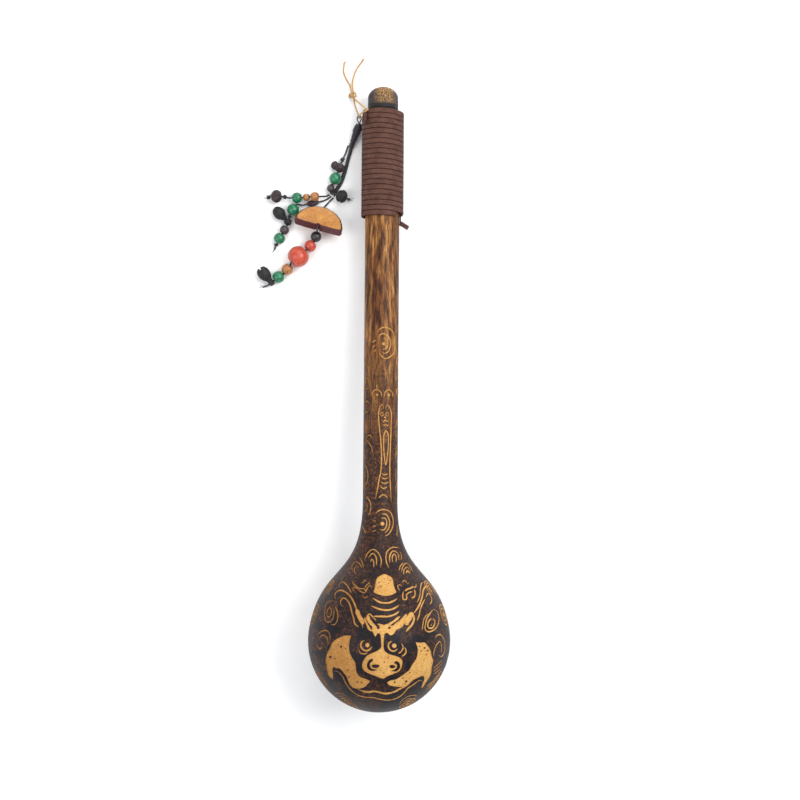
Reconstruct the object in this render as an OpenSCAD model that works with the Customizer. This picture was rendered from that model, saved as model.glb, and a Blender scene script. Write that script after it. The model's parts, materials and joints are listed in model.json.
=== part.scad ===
// Long-neck gourd rattle: a dried gourd closed by a turned plug, a leather-laced grip,
// and a beaded cord tassel hung from a hemp tie. It lies on a table along +Y.

/* [Gourd] */
// Diameter of the round bulb
bulb_d = 107; // [95:0.5:128]
// Length over everything, along the gourd's own axis
overall_l = 480; // [400:1:576]
// Diameter of the neck
neck_d = 26.4; // [24:0.2:30]
// Distance along the axis from the bulb's centre to where the neck is straight
flare_l = 105; // [95:1:126]
// Wall thickness of the bulb
bulb_wall = 5; // [3:0.5:8]
// Wall thickness of the neck
neck_wall = 4.5; // [3:0.5:6]

/* [End plug] */
// Diameter of the plug that shows past the grip
plug_d = 23.6; // [20:0.2:24]
// Length of the plug's straight side
plug_straight = 9.5; // [6:0.5:14]
// Height of the plug's domed end
dome_h = 9; // [5:0.5:12]
// Length of the spigot glued into the neck
spigot_l = 18; // [10:1:30]
// Diameter taken off the spigot so that it slides in
spigot_play = 0.1; // [0.05:0.05:0.4]

/* [Grip] */
// Length of the laced grip
grip_l = 86; // [70:1:104]
// Distance between turns of the lace
lace_pitch = 4; // [3:0.25:6]
// Thickness of the lace
lace_t = 1.5; // [1:0.1:2]
// Gap left between pieces that are wound or glued together
snug = 0.05; // [0.03:0.01:0.1]
// Thickness of the two lace runs held under the turns
under_t = 1.3; // [0.8:0.1:1.4]
// Width of the two lace runs held under the turns
under_w = 4; // [3:0.5:4]

/* [Rattle seeds] */
// Length of a loose seed
seed_l = 7; // [4:0.5:9]
// Thickness of a loose seed
seed_d = 4.4; // [3:0.2:6]

/* [Tassel] */
// Diameter of the waxed cord
cord_d = 1.4; // [1:0.1:1.5]
// Diameter of the thin eye on the wrapped knot
eye_d = 1; // [0.8:0.1:1.2]
// Diameter of the hemp string
hemp_d = 1.2; // [1:0.1:1.3]
// Diameter of the holes drilled through beads and seeds
bore_d = 2.4; // [2.2:0.1:2.8]
// Diameter of the biggest wooden bead
big_bead_d = 16.6; // [14:0.2:16.6]
// Radius of the half-disc pendant
pendant_r = 19.5; // [17:0.5:20]
// Thickness of the half-disc pendant
pendant_t = 7.5; // [6:0.5:8]

/* [Hidden] */
$fn = 96;

bulb_r = bulb_d / 2;
neck_r = neck_d / 2;
flare_lat = 10;              // latitude on the bulb where the flare leaves it
flare_pull = [50, 60];       // how far the flare's curve runs along each end's direction
plug_r = plug_d / 2;
tip_s = overall_l - bulb_r;  // distances called s run along the axis from the bulb's centre
plug_s = tip_s - dome_h - plug_straight;
rim_taper = 6.5;             // length of the thinned end of the neck
rim_r = plug_r - 0.2;
grip_top = plug_s - 0.1;
grip_bottom = grip_top - grip_l;
lace_w = lace_pitch - 0.15;
turn_steps = 24;
lace_in_r = (neck_r + snug) / cos(180 / turn_steps);  // inside radius of the lace's turns
grip_r = lace_in_r + lace_t;
// Inside radius of the turns where they pass over the held runs' outer corners
climb_r = (norm([neck_r + snug + under_t, under_w / 2]) + snug) / cos(180 / turn_steps);

// The gourd rests on its bulb and on the last full turn of its grip.
full_s = plug_s - rim_taper; // end of the full neck, where the taper of its rim starts
rest_s = full_s + lace_w;
tilt = asin(bulb_r / norm([rest_s, grip_r])) - atan(grip_r / rest_s);
reach_y = (tip_s - dome_h) * cos(tilt) + norm([dome_h * cos(tilt), plug_r * sin(tilt)]);
bulb_y = (bulb_r - reach_y) / 2;

wood_green = [0.05, 0.45, 0.27];
wood_red = [0.76, 0.2, 0.18];
wood_tan = [0.68, 0.44, 0.2];
seed_black = [0.12, 0.12, 0.13];
cord_black = [0.07, 0.07, 0.09];
hemp_tan = [0.76, 0.63, 0.4];
leather_brown = [0.36, 0.22, 0.19];

// Routes of the cords, chosen by hand. Each named pair of points is the straight stretch
// inside one bead, seed or knot.
hemp_loop_route = [
    [-22.4, 231.5, 4.6], [-19, 227.5, 11], [-15.2, 222.8, 19], [-11.6, 219, 25.8], [-13.6, 218.2, 25.2],
    [-16.8, 217, 21.4], [-18.4, 216, 17], [-18.6, 214.9, 13], [-19.2, 217, 10.6], [-20.6, 221.5, 8],
    [-22, 226, 5.4], [-23, 231.3, 3.2]
];
hemp_left_route = [[-25, 238, 2.6], [-26.4, 243, 1.2], [-29.6, 248.6, 0.7], [-31.4, 253.6, 0.7], [-31, 259, 0.7]];
hemp_right_route = [[-23.8, 238.2, 3.4], [-24.2, 244, 2.2], [-23.4, 250, 1], [-21, 256, 0.7], [-17, 261.6, 0.7]];
eye_route = [
    [-18.2, 212.1, 9.9], [-17.4, 213.3, 11.4], [-17.1, 214.9, 12.8], [-17.7, 216.2, 13.2],
    [-18.6, 216.6, 13.3], [-19.5, 216.2, 13.2], [-20.1, 214.9, 12.8], [-19.8, 213.3, 11.2], [-19, 212, 9.7]
];
knot_top = [-18.2, 211.4, 8.9];
knot_bottom = [-24.2, 196.8, 2.6];
bundle_left_route = [
    [-25.1, 195.4, 1.5], [-27.6, 187, 0.7], [-30.4, 176, 0.7], [-33.4, 167, 0.7], [-37.5, 160.6, 0.7], [-41, 157.4, 0.7]
];
bundle_right_route = [
    [-23.8, 195.1, 1.5], [-26.1, 186.7, 0.7], [-28.9, 175.6, 0.7], [-31.9, 166.4, 0.7], [-36.1, 159.4, 0.7],
    [-38.2, 155.6, 0.7]
];
bundle_top_route = [
    [-24.5, 195.2, 2.9], [-26.9, 186.8, 2], [-29.7, 175.8, 2], [-32.6, 166.7, 2], [-36.7, 160.2, 2], [-39.7, 156.4, 0.9]
];
side_route = [
    [-27.4, 195.2, 2.2], [-29.4, 189.5, 1.2], [-31.2, 185, 2.6], [-32, 182.8, 3.4],
    [-32.8, 181.2, 4], [-35.2, 173.8, 4.6], [-36, 172.8, 4.8], [-38.4, 164.8, 4.8],
    [-40.7, 164.1, 3.4], [-41.1, 158.6, 3.4], [-38.8, 156.9, 6], [-36.4, 156.3, 7.7], [-27.8, 153.3, 2.8],
    [-27.2, 153.1, 2.2], [-25.8, 152.6, 1.4]
];
left_route = [
    [-42.2, 156.5, 0.9], [-44.4, 155.3, 2.2], [-46.8, 154.7, 5], [-49.6, 154.3, 7.6], [-56.6, 154.3, 7.2],
    [-57.4, 154.2, 5], [-62.2, 153.8, 3.6], [-63.3, 153.6, 4.4], [-71.3, 153.6, 4.4], [-73.4, 153.7, 2.4],
    [-75.6, 154, 3.4], [-78.2, 154.3, 4.6], [-78.8, 154.5, 5.2], [-88, 154.6, 5.2],
    [-88.5, 154.4, 4.4], [-90.8, 153.8, 2.4]
];
lower_route = [
    [-40.8, 155.3, 0.8], [-43.6, 153.2, 0.8], [-46.8, 151.6, 1.6], [-49.4, 150.8, 2.6], [-60.2, 148.8, 2.6],
    [-63, 148.2, 1.8], [-65.4, 148.5, 3.2], [-67.9, 148.1, 4.8], [-72.4, 140.3, 4.8],
    [-72.8, 139.5, 4.4], [-73.2, 138.2, 4], [-73.4, 137.9, 4], [-75.2, 131.5, 4],
    [-75.4, 131.1, 4], [-78.6, 125.5, 4], [-79, 125.2, 4.5], [-82.8, 118.1, 4.5],
    [-83.2, 117.4, 3.6], [-84, 115.8, 2.4], [-85, 113, 0.8]
];
pendant_route = [
    [-39, 154.2, 0.8], [-41.2, 152, 0.8], [-43.4, 149.6, 0.9], [-45.9, 146.2, 1.9], [-50.8, 128, 15.1],
    [-50.9, 126.5, 13.4], [-51.1, 125.5, 10.9], [-52.7, 119.7, 6.9], [-53.7, 118.7, 6], [-59.3, 112.5, 7],
    [-60.1, 112, 7.9], [-71.3, 102.2, 8.7], [-72, 100.9, 5.2], [-77, 93.8, 4.6],
    [-78, 93.9, 4.8], [-84.8, 88.8, 4.8], [-85, 88.6, 4.6], [-88.9, 85.3, 4.6], [-91, 84.3, 2], [-93.8, 83.6, 0.8]
];
// Where each threaded piece sits: the number of the route point that its stretch starts from.
side_at = [2, 4, 6, 8, 11, 13];
left_at = [3, 5, 7, 10, 12, 14];
lower_at = [3, 7, 9, 11, 13, 15, 17];
pendant_at = [6, 8, 10, 12, 14, 16];

// Places children on the gourd's axis, s along it, with their +Z towards the handle's end.
module on_axis(s = 0) {
    translate([0, bulb_y, bulb_r]) rotate([-90 - tilt, 0, 0]) translate([0, 0, s]) children();
}

// Places children at the middle of the route's stretch i, with their +Z along it.
module threaded(route, i) {
    run = route[i + 1] - route[i];
    translate((route[i] + route[i + 1]) / 2)
        rotate([0, acos(run.z / norm(run)), atan2(run.y, run.x)]) children();
}

function unit(v) = v / norm(v);
function tangent(route, i) =
    unit((i == 0 ? [0, 0, 0] : unit(route[i] - route[i - 1]))
        + (i == len(route) - 1 ? [0, 0, 0] : unit(route[i + 1] - route[i])));
function level_side(t) = unit(cross(t, [0, 0, 1]));

// Joins rings of equal count into a closed tube.
module ring_tube(rings) {
    n = len(rings[0]);
    last = len(rings) - 1;
    polyhedron(
        points = [for (ring = rings) each ring],
        faces = [
            [for (k = [n - 1:-1:0]) k],
            [for (k = [0:n - 1]) last * n + k],
            for (i = [0:last - 1]) for (k = [0:n - 1])
                each [
                    [i * n + k, i * n + (k + 1) % n, (i + 1) * n + k],
                    [i * n + (k + 1) % n, (i + 1) * n + (k + 1) % n, (i + 1) * n + k]
                ]
        ]
    );
}

// A round cord of eight sides along a route.
module cord(route, d) {
    ring_tube([
        for (i = [0:len(route) - 1])
            let (t = tangent(route, i), side = level_side(t), up = cross(side, t))
                [for (k = [7:-1:0]) route[i] + d / 2 * (cos(k * 45 + 22.5) * side + sin(k * 45 + 22.5) * up)]
    ]);
}

// A round, oval or long body of revolution about Z.
module spindle(r, half_l, steps = 12) {
    rotate_extrude() polygon([for (k = [0:steps]) [r * sin(k * 180 / steps), half_l * cos(k * 180 / steps)]]);
}

// A drilled bead with flat ends and countersunk holes.
module bead(d, flat = 0.84) {
    l = d * flat;
    sink = bore_d / 4;
    difference() {
        intersection() {
            sphere(d = d);
            cylinder(d = d + 1, h = l, center = true);
        }
        drilled(l);
        for (end = [-1, 1])
            translate([0, 0, end * l / 2])
                cylinder(d1 = bore_d + (end < 0 ? 2 * sink : -2 * sink),
                         d2 = bore_d + (end < 0 ? -2 * sink : 2 * sink), h = 2 * sink, center = true);
    }
}

// The hole that a cord runs through.
module drilled(l) { cylinder(d = bore_d, h = l + 8, center = true); }

// A tight knot tied in the cord, with the cord running through it.
module cord_knot(r, half_l) {
    difference() {
        spindle(r, half_l);
        cylinder(d = cord_d + 2 * snug, h = 4 * half_l, center = true);
    }
}

function bezier(p, t) =
    pow(1 - t, 3) * p[0] + 3 * pow(1 - t, 2) * t * p[1] + 3 * (1 - t) * t * t * p[2] + pow(t, 3) * p[3];
function neck_end_r(s) = neck_r - (neck_r - rim_r) * max(0, s - full_s) / rim_taper;

// Half outline of the gourd, from the pole of the bulb to the start of the straight neck.
function gourd_outline(ball_r, tube_r) = let (
        leave = ball_r * [cos(flare_lat), sin(flare_lat)],
        curve = [
            leave,
            leave + flare_pull[0] * [-sin(flare_lat), cos(flare_lat)],
            [tube_r, flare_l - flare_pull[1]],
            [tube_r, flare_l]
        ])
    concat(
        [for (lat = [-90:5:flare_lat - 5]) ball_r * [cos(lat), sin(lat)]],
        [for (k = [0:18]) bezier(curve, k / 18)]
    );

module gourd_shell() {
    color([0.24, 0.14, 0.1]) on_axis() difference() {
        rotate_extrude() polygon(concat(
            gourd_outline(bulb_r, neck_r),
            [[neck_r, full_s], [rim_r, plug_s], [0, plug_s]]
        ));
        rotate_extrude() polygon(concat(
            gourd_outline(bulb_r - bulb_wall, neck_r - neck_wall),
            [[neck_r - neck_wall, plug_s + 1], [0, plug_s + 1]]
        ));
    }
}

module end_plug() {
    spigot_r = neck_r - neck_wall - spigot_play / 2;
    color([0.2, 0.19, 0.2]) on_axis(plug_s) rotate_extrude() polygon(concat(
        [[0, -spigot_l], [spigot_r - 1, -spigot_l], [spigot_r, 1 - spigot_l], [spigot_r, 0], [plug_r, 0]],
        [for (a = [0:9:90]) [plug_r * cos(a), plug_straight + dome_h * sin(a)]]
    ));
}

// Extra radius of the lace where it climbs over the runs at its left and right sides.
function lace_rise(a) = (climb_r - lace_in_r) * max(0, min(1, (45 - min(a % 180, 180 - a % 180)) / 30));

module handle_lace() {
    steps = floor((grip_l - lace_w) / lace_pitch * turn_steps);
    color(leather_brown) on_axis() ring_tube([
        for (i = [0:steps])
            let (
                a = 135 + i * 360 / turn_steps,
                s = grip_top - lace_w / 2 - i * lace_pitch / turn_steps,
                low = s - lace_w / 2, high = s + lace_w / 2,
                in_r = (neck_end_r(low) + snug) / cos(180 / turn_steps) + lace_rise(a),
                out_r = in_r + lace_t,
                out = [cos(a), sin(a)]
            ) [
                [each in_r * out, low], [each in_r * out, high], [each out_r * out, high], [each out_r * out, low]
            ]
    ]);
}

// The lace's end, which runs under the turns and comes out below them.
module lace_tail() {
    x0 = neck_r + snug;
    x1 = x0 + under_t;
    color(leather_brown) on_axis() rotate([90, 0, 0]) linear_extrude(under_w, center = true) polygon([
        [x0, full_s - 8], [x1, full_s - 8], [x1, grip_bottom - 1], [x1 + 5.8, grip_bottom - 5.4],
        [x1 + 5, grip_bottom - 8.6], [x0, grip_bottom - 5]
    ]);
}

module lace_bight() {
    x0 = neck_r + snug;
    color(leather_brown) on_axis() rotate([90, 0, 0]) linear_extrude(under_w, center = true) polygon([
        [-x0, full_s - 6], [-x0 - under_t, full_s - 6], [-x0 - under_t, grip_bottom + 4], [-x0, grip_bottom + 4]
    ]);
}

// The lace's other end, folded over the turns by the tie.
module lace_fold() {
    fold_l = 7;
    fold_w = 4.5;
    fold_t = 1.6;
    color(leather_brown) on_axis(full_s - 2) rotate([0, 0, 217])
        translate([(grip_r + climb_r + lace_t) / 2 + snug, 0, 0]) rotate([0, 90, 0])
            linear_extrude(fold_t, scale = 0.7) offset(1) square([fold_l - 2, fold_w - 2], center = true);
}

// Loose seeds lying on the inside of the bulb.
module rattle_seeds() {
    wall_r = bulb_r - bulb_wall - seed_d / 2 - 0.3;
    pitch = seed_l + 2.5;
    color([0.3, 0.2, 0.12]) on_axis() for (row = [-1.5:1.5]) for (col = [-1.5:1.5])
        rotate([0, 0, 90 + asin(col * pitch / wall_r)]) rotate([0, -asin(row * pitch / wall_r), 0])
            translate([wall_r, 0, 0]) rotate([60 * col + 40 * row, 0, 0]) spindle(seed_d / 2, seed_l / 2, 8);
}

module hemp_loop() { color(hemp_tan) cord(hemp_loop_route, hemp_d); }

module hemp_end_left() { color(hemp_tan) cord(hemp_left_route, hemp_d); }

module hemp_end_right() { color(hemp_tan) cord(hemp_right_route, hemp_d); }

// Overhand knot that closes the hemp loop.
module hemp_knot() {
    color(hemp_tan) {
        threaded([[-22.9, 231.9, 4], [-24.4, 237.6, 3.2]], 0) spindle(2.7, 2.85);
        translate([-26, 234.6, 2.6]) spindle(1.7, 2.4);
    }
}

module tassel_eye() { color(cord_black) cord(eye_route, eye_d); }

// Long knot that binds the four strands: a fat upper winding and a slimmer lower one.
module wrapped_knot() {
    l = norm(knot_bottom - knot_top);
    color(cord_black) threaded([knot_top, knot_bottom], 0) rotate_extrude() polygon([
        [0, -l / 2], [1.6, -l / 2], [3.3, 2.4 - l / 2], [3.2, 8 - l / 2], [2.4, 9.4 - l / 2],
        [2.3, l / 2 - 1.2], [1.5, l / 2], [0, l / 2]
    ]);
}

module bundle_cord_left() { color(cord_black) cord(bundle_left_route, cord_d); }

module bundle_cord_right() { color(cord_black) cord(bundle_right_route, cord_d); }

module bundle_cord_top() { color(cord_black) cord(bundle_top_route, cord_d); }

module side_cord() { color(cord_black) cord(side_route, cord_d); }

module side_knots() {
    color(cord_black) {
        threaded(side_route, side_at[0]) cord_knot(1.9, 1.3);
        threaded(side_route, side_at[5]) cord_knot(1.4, 0.8);
    }
}

// A seed of two unequal lobes, drilled through the larger.
module side_lobed_seed() {
    color([0.26, 0.2, 0.2]) threaded(side_route, side_at[1]) difference() {
        union() {
            spindle(4, 3.6);
            translate([0, -4.2, -0.6]) spindle(2.9, 3.4);
        }
        drilled(8);
    }
}

module side_green_bead() { color(wood_green) threaded(side_route, side_at[2]) bead(9.6); }

module side_dark_bead() { color([0.22, 0.18, 0.19]) threaded(side_route, side_at[3]) bead(6); }

module side_black_seed() {
    color(seed_black) threaded(side_route, side_at[4]) difference() {
        spindle(5.2, 4.6);
        drilled(10);
        translate([0, -6.2, 0]) rotate([0, 90, 0]) cylinder(r = 1.6, h = 14, center = true);
    }
}

module left_cord() { color(cord_black) cord(left_route, cord_d); }

module left_knots() {
    color(cord_black) {
        threaded(left_route, left_at[3]) cord_knot(1.8, 1.3);
        threaded(left_route, left_at[5]) cord_knot(1.9, 1.5);
    }
}

module left_tan_bead() { color(wood_tan) threaded(left_route, left_at[0]) bead(7.4); }

module left_small_tan_bead() { color(wood_tan) threaded(left_route, left_at[1]) bead(5.8, 0.78); }

module left_green_bead() { color(wood_green) threaded(left_route, left_at[2]) bead(8.6); }

module left_round_seed() {
    color([0.25, 0.2, 0.23]) threaded(left_route, left_at[4]) difference() {
        spindle(5.1, 4.4);
        drilled(9);
    }
}

module lower_cord() { color(cord_black) cord(lower_route, cord_d); }

module lower_knots() {
    color(cord_black) {
        threaded(lower_route, lower_at[2]) cord_knot(1.8, 0.6);
        threaded(lower_route, lower_at[6]) cord_knot(1.9, 0.9);
    }
}

module lower_oval_seed() {
    color([0.26, 0.19, 0.17]) threaded(lower_route, lower_at[0]) difference() {
        spindle(2.5, 5.2);
        drilled(11);
    }
}

module lower_green_bead() { color(wood_green) threaded(lower_route, lower_at[1]) bead(9.6); }

// A seed of two lobes, the small one drilled and the big one lying outwards.
module lower_twin_seed() {
    color(seed_black) threaded(lower_route, lower_at[3]) difference() {
        union() {
            spindle(3.2, 3);
            translate([-0.8, -8.4, -4.6]) rotate([-61, 0, 0]) spindle(4.7, 5.7);
            translate([0.2, -3, -1.6]) rotate([61, 0, 0]) cylinder(r1 = 1.8, r2 = 3, h = 4);
        }
        drilled(8);
    }
}

module lower_brown_bead() { color([0.22, 0.17, 0.17]) threaded(lower_route, lower_at[4]) bead(7.4, 0.8); }

module lower_end_bead() { color(wood_green) threaded(lower_route, lower_at[5]) bead(9); }

module pendant_cord() { color(cord_black) cord(pendant_route, cord_d); }

// Half a slice of a nut, drilled from the middle of its straight side to the top of its arc.
module half_disc_pendant() {
    lean = 35;
    turn = -15;
    rise = pendant_r * sin(lean) + pendant_t / 2 * cos(lean);
    color([0.74, 0.45, 0.2]) translate([-50.5, 129.2, rise]) rotate([0, 0, turn]) rotate([-lean, 0, 0])
        difference() {
            intersection() {
                cylinder(r = pendant_r, h = pendant_t, center = true);
                translate([0, pendant_r, 0]) cube(2 * pendant_r, center = true);
            }
            rotate([-90, 0, 0]) translate([0, 0, pendant_r / 2]) drilled(pendant_r);
        }
}

module pendant_black_bead() { color(seed_black) threaded(pendant_route, pendant_at[0]) bead(8.6, 0.78); }

module small_red_bead() { color(wood_red) threaded(pendant_route, pendant_at[1]) bead(9.4, 0.78); }

module big_red_bead() { color(wood_red) threaded(pendant_route, pendant_at[2]) bead(big_bead_d); }

module orange_bead() { color(wood_tan) threaded(pendant_route, pendant_at[3]) bead(9.2); }

module last_green_bead() { color(wood_green) threaded(pendant_route, pendant_at[4]) bead(9.5); }

// Woody pod, drilled through its neck, with its tip split open.
module split_seed_pod() {
    color([0.2, 0.17, 0.17]) threaded(pendant_route, pendant_at[5]) difference() {
        translate([-0.5, 0, 0]) rotate([90, 0, 0]) difference() {
            rotate_extrude() polygon([
                [0, -2.6], [1.8, -2.2], [2.5, -0.6], [2.3, 1.4], [2.5, 3], [4, 5], [4.9, 7.6], [5, 10],
                [4.3, 12.4], [2.8, 14.2], [0, 15]
            ]);
            translate([0, 0, 14.6]) cube([12, 1.2, 5], center = true);
        }
        drilled(6);
    }
}

gourd_shell();
end_plug();
handle_lace();
lace_tail();
lace_bight();
lace_fold();
rattle_seeds();
hemp_loop();
hemp_knot();
hemp_end_left();
hemp_end_right();
tassel_eye();
wrapped_knot();
bundle_cord_left();
bundle_cord_right();
bundle_cord_top();
side_cord();
side_knots();
side_lobed_seed();
side_green_bead();
side_dark_bead();
side_black_seed();
left_cord();
left_knots();
left_tan_bead();
left_small_tan_bead();
left_green_bead();
left_round_seed();
lower_cord();
lower_knots();
lower_oval_seed();
lower_green_bead();
lower_twin_seed();
lower_brown_bead();
lower_end_bead();
pendant_cord();
half_disc_pendant();
pendant_black_bead();
small_red_bead();
big_red_bead();
orange_bead();
last_green_bead();
split_seed_pod();
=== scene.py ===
# %% [markdown]
# # A gourd rattle with a beaded tassel
# The rattle is a dried long-neck gourd: its skin was burnt dark and a design was cut through it, down to
# the pale flesh. Its grip is wound with leather lace, and a tassel of waxed cord, wooden beads and seeds
# hangs from a hemp tie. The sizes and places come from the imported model, which is loaded first and stays put.
# This script gives each piece the shape and finish of the real one.

# %% Load the fixed frame
import json
import math
import random

import bmesh
import bpy
import numpy as np
from mathutils import Matrix, Vector, noise
from mathutils.geometry import delaunay_2d_cdt


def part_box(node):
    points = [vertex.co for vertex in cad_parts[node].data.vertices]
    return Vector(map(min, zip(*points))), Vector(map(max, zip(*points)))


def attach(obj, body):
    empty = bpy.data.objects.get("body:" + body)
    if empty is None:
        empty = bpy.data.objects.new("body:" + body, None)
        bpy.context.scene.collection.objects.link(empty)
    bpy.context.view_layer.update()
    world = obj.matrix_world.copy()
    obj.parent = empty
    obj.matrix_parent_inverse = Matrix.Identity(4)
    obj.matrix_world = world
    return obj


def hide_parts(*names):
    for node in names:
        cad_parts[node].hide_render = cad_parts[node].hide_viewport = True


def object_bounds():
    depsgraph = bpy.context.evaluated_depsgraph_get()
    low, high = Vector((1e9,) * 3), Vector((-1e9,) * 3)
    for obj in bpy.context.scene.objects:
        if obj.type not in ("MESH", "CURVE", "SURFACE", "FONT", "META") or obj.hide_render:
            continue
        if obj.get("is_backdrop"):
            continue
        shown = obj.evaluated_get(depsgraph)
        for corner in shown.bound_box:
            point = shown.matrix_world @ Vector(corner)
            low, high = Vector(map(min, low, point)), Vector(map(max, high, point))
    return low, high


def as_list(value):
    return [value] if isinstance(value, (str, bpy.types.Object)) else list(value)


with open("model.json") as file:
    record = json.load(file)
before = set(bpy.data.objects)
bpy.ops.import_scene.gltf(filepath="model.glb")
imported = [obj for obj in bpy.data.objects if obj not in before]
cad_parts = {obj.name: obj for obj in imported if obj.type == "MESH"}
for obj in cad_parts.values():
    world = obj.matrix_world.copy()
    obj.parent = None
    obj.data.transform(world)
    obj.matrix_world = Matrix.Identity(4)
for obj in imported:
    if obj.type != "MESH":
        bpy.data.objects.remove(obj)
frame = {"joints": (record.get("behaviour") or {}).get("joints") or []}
cad_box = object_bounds()
MM = 0.001
print("CAD box, mm:", [[round(c / MM, 1) for c in corner] for corner in cad_box])

# %% [markdown]
# ## The gourd's axis
# Everything on the gourd is laid out by two numbers: s, the distance along its axis from the bulb's centre,
# and the angle round that axis. The axis itself is the one that the loose seeds roll about, so it is read
# from the frame. The bulb rests on the table, so its radius is also the height of its centre.

# %% Axis and profile
seeds_roll = next(joint for joint in frame["joints"] if joint["name"] == "seeds_roll")
AXIS = Vector(seeds_roll["axis"]).normalized()
CENTRE = Vector(seeds_roll["pos_m"])
RIGHT = Vector((1, 0, 0))
UP = RIGHT.cross(AXIS)

BULB_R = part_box("gourd_shell")[1].x
NECK_R = 13.2 * MM
RIM_R = 11.6 * MM        # the neck is thinned to this at the plug
FLARE_LAT = math.radians(10)
FLARE_END = 105 * MM     # where the flare becomes the straight neck
FLARE_PULL = (50 * MM, 60 * MM)
TAPER_START = 401.5 * MM
PLUG_S = 408 * MM
WALL = 4.5 * MM


def bezier(p, t):
    return (1 - t) ** 3 * p[0] + 3 * (1 - t) ** 2 * t * p[1] + 3 * (1 - t) * t * t * p[2] + t ** 3 * p[3]


def gourd_outline(thinner=0.0):
    """Half outline from the bulb's pole to the plug, as rows of (s, radius)."""
    ball, tube = BULB_R - thinner, NECK_R - thinner
    lat = np.linspace(math.radians(-89.2), FLARE_LAT, 260)
    leave = np.array([ball * math.sin(FLARE_LAT), ball * math.cos(FLARE_LAT)])
    along = np.array([math.cos(FLARE_LAT), -math.sin(FLARE_LAT)])
    curve = [leave, leave + FLARE_PULL[0] * along,
             np.array([FLARE_END - FLARE_PULL[1], tube]), np.array([FLARE_END, tube])]
    flare = [bezier(curve, t) for t in np.linspace(0, 1, 200)[1:]]
    neck = [(s, tube) for s in np.linspace(FLARE_END, TAPER_START, 600)[1:]]
    rim = [(s, np.interp(s, (TAPER_START, PLUG_S), (tube, RIM_R - thinner)))
           for s in np.linspace(TAPER_START, PLUG_S, 20)[1:]]
    return np.vstack([np.column_stack([ball * np.sin(lat), ball * np.cos(lat)]), flare, neck, rim])


OUTLINE = gourd_outline()
S, R = OUTLINE.T
STEP = np.hypot(np.gradient(S), np.gradient(R))
SLOPE = np.gradient(R) / STEP
LEAN = np.gradient(S) / STEP


def gourd_point(s, radius, angle):
    """A point at distance s and radius, at an angle from the top, to the right where it is positive."""
    return CENTRE + s * AXIS + radius * (math.sin(angle) * RIGHT + math.cos(angle) * UP)


ALONG_GOURD = Matrix.Translation(CENTRE) @ Matrix((RIGHT, -UP, AXIS)).transposed().to_4x4()
print("bulb radius", round(BULB_R / MM, 2), "mm, tilt", round(math.degrees(math.asin(-AXIS.z)), 2), "degrees")

# %% [markdown]
# ## Small tools
# A few helpers carry the whole script. One adds a node to a tree and joins it up in a single call. One turns
# lists of points and faces into an object, and another runs a Geometry Nodes tree on a line of points and
# keeps the result as a plain mesh, because the frame wants finished meshes.

# %% Node and object helpers
def add(tree, kind, inputs=None, **settings):
    node = tree.nodes.new(kind)
    for name, value in settings.items():
        setattr(node, name, value)
    for key, value in (inputs or {}).items():
        if isinstance(value, bpy.types.NodeSocket):
            tree.links.new(value, node.inputs[key])
        else:
            node.inputs[key].default_value = value
    return node


def show(name, mesh):
    piece = bpy.data.objects.new(name, mesh)
    bpy.context.scene.collection.objects.link(piece)
    return piece


def mesh_object(name, points, faces, materials=(), smooth=True):
    mesh = bpy.data.meshes.new(name)
    mesh.from_pydata([tuple(p) for p in points], [], faces)
    for material in materials:
        mesh.materials.append(material)
    if smooth:
        mesh.shade_smooth()
    return show(name, mesh)


def new_tree(name, sockets):
    """A Geometry Nodes tree with named inputs: each is (name, socket type, value)."""
    tree = bpy.data.node_groups.new(name, "GeometryNodeTree")
    tree.interface.new_socket("Route", in_out="INPUT", socket_type="NodeSocketGeometry")
    for label, kind, value in sockets:
        socket = tree.interface.new_socket(label, in_out="INPUT", socket_type=kind)
        if value is not None:
            socket.default_value = value
    tree.interface.new_socket("Geometry", in_out="OUTPUT", socket_type="NodeSocketGeometry")
    return tree, tree.nodes.new("NodeGroupInput"), tree.nodes.new("NodeGroupOutput")


def run_along(name, tree, routes, values, place=None):
    """Runs a tree on one line of points, or on several, and returns the plain mesh as an object."""
    routes = [routes] if isinstance(routes[0], Vector) else routes
    points = [p for route in routes for p in route]
    starts = np.cumsum([0] + [len(route) for route in routes])
    edges = [(i, i + 1) for a, b in zip(starts, starts[1:]) for i in range(a, b - 1)]
    line = bpy.data.meshes.new(name + ".line")
    line.from_pydata(points, edges, [])
    source = bpy.data.objects.new(name + ".source", line)
    modifier = source.modifiers.new(tree.name, "NODES")
    modifier.node_group = tree
    for item in tree.interface.items_tree:
        if item.in_out == "INPUT" and item.name in values:
            modifier[item.identifier] = values[item.name]
    bpy.context.scene.collection.objects.link(source)
    graph = bpy.context.evaluated_depsgraph_get()
    mesh = bpy.data.meshes.new_from_object(source.evaluated_get(graph), depsgraph=graph)
    bpy.data.objects.remove(source)
    if place:
        mesh.transform(place)
    return show(name, mesh)


def smooth_route(points, step=0.0006, closed=False):
    """A smooth curve through points, which keeps close to their straight lines, as points a step apart."""
    p = [Vector(q) for q in points]
    p = [p[-1], *p, p[0], p[1]] if closed else [2 * p[0] - p[1], *p, 2 * p[-1] - p[-2]]
    curve = []
    for a, b, c, d in zip(p, p[1:], p[2:], p[3:]):
        ab, bc, cd = (max(1e-9, (y - x).length) ** 0.5 for x, y in ((a, b), (b, c), (c, d)))
        pull_b = (b - a) / ab - (c - a) / (ab + bc) + (c - b) / bc
        pull_c = (c - b) / bc - (d - b) / (bc + cd) + (d - c) / cd
        hands = (b, b + pull_b * bc / 3, c - pull_c * bc / 3, c)
        count = max(1, round((c - b).length / step))
        curve += [bezier(hands, i / count) for i in range(count)]
    return curve if closed else curve + [p[-2]]


def run_length(route):
    return sum((b - a).length for a, b in zip(route, route[1:]))


def in_mm(*points):
    return [Vector(p) * MM for p in points]


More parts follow.
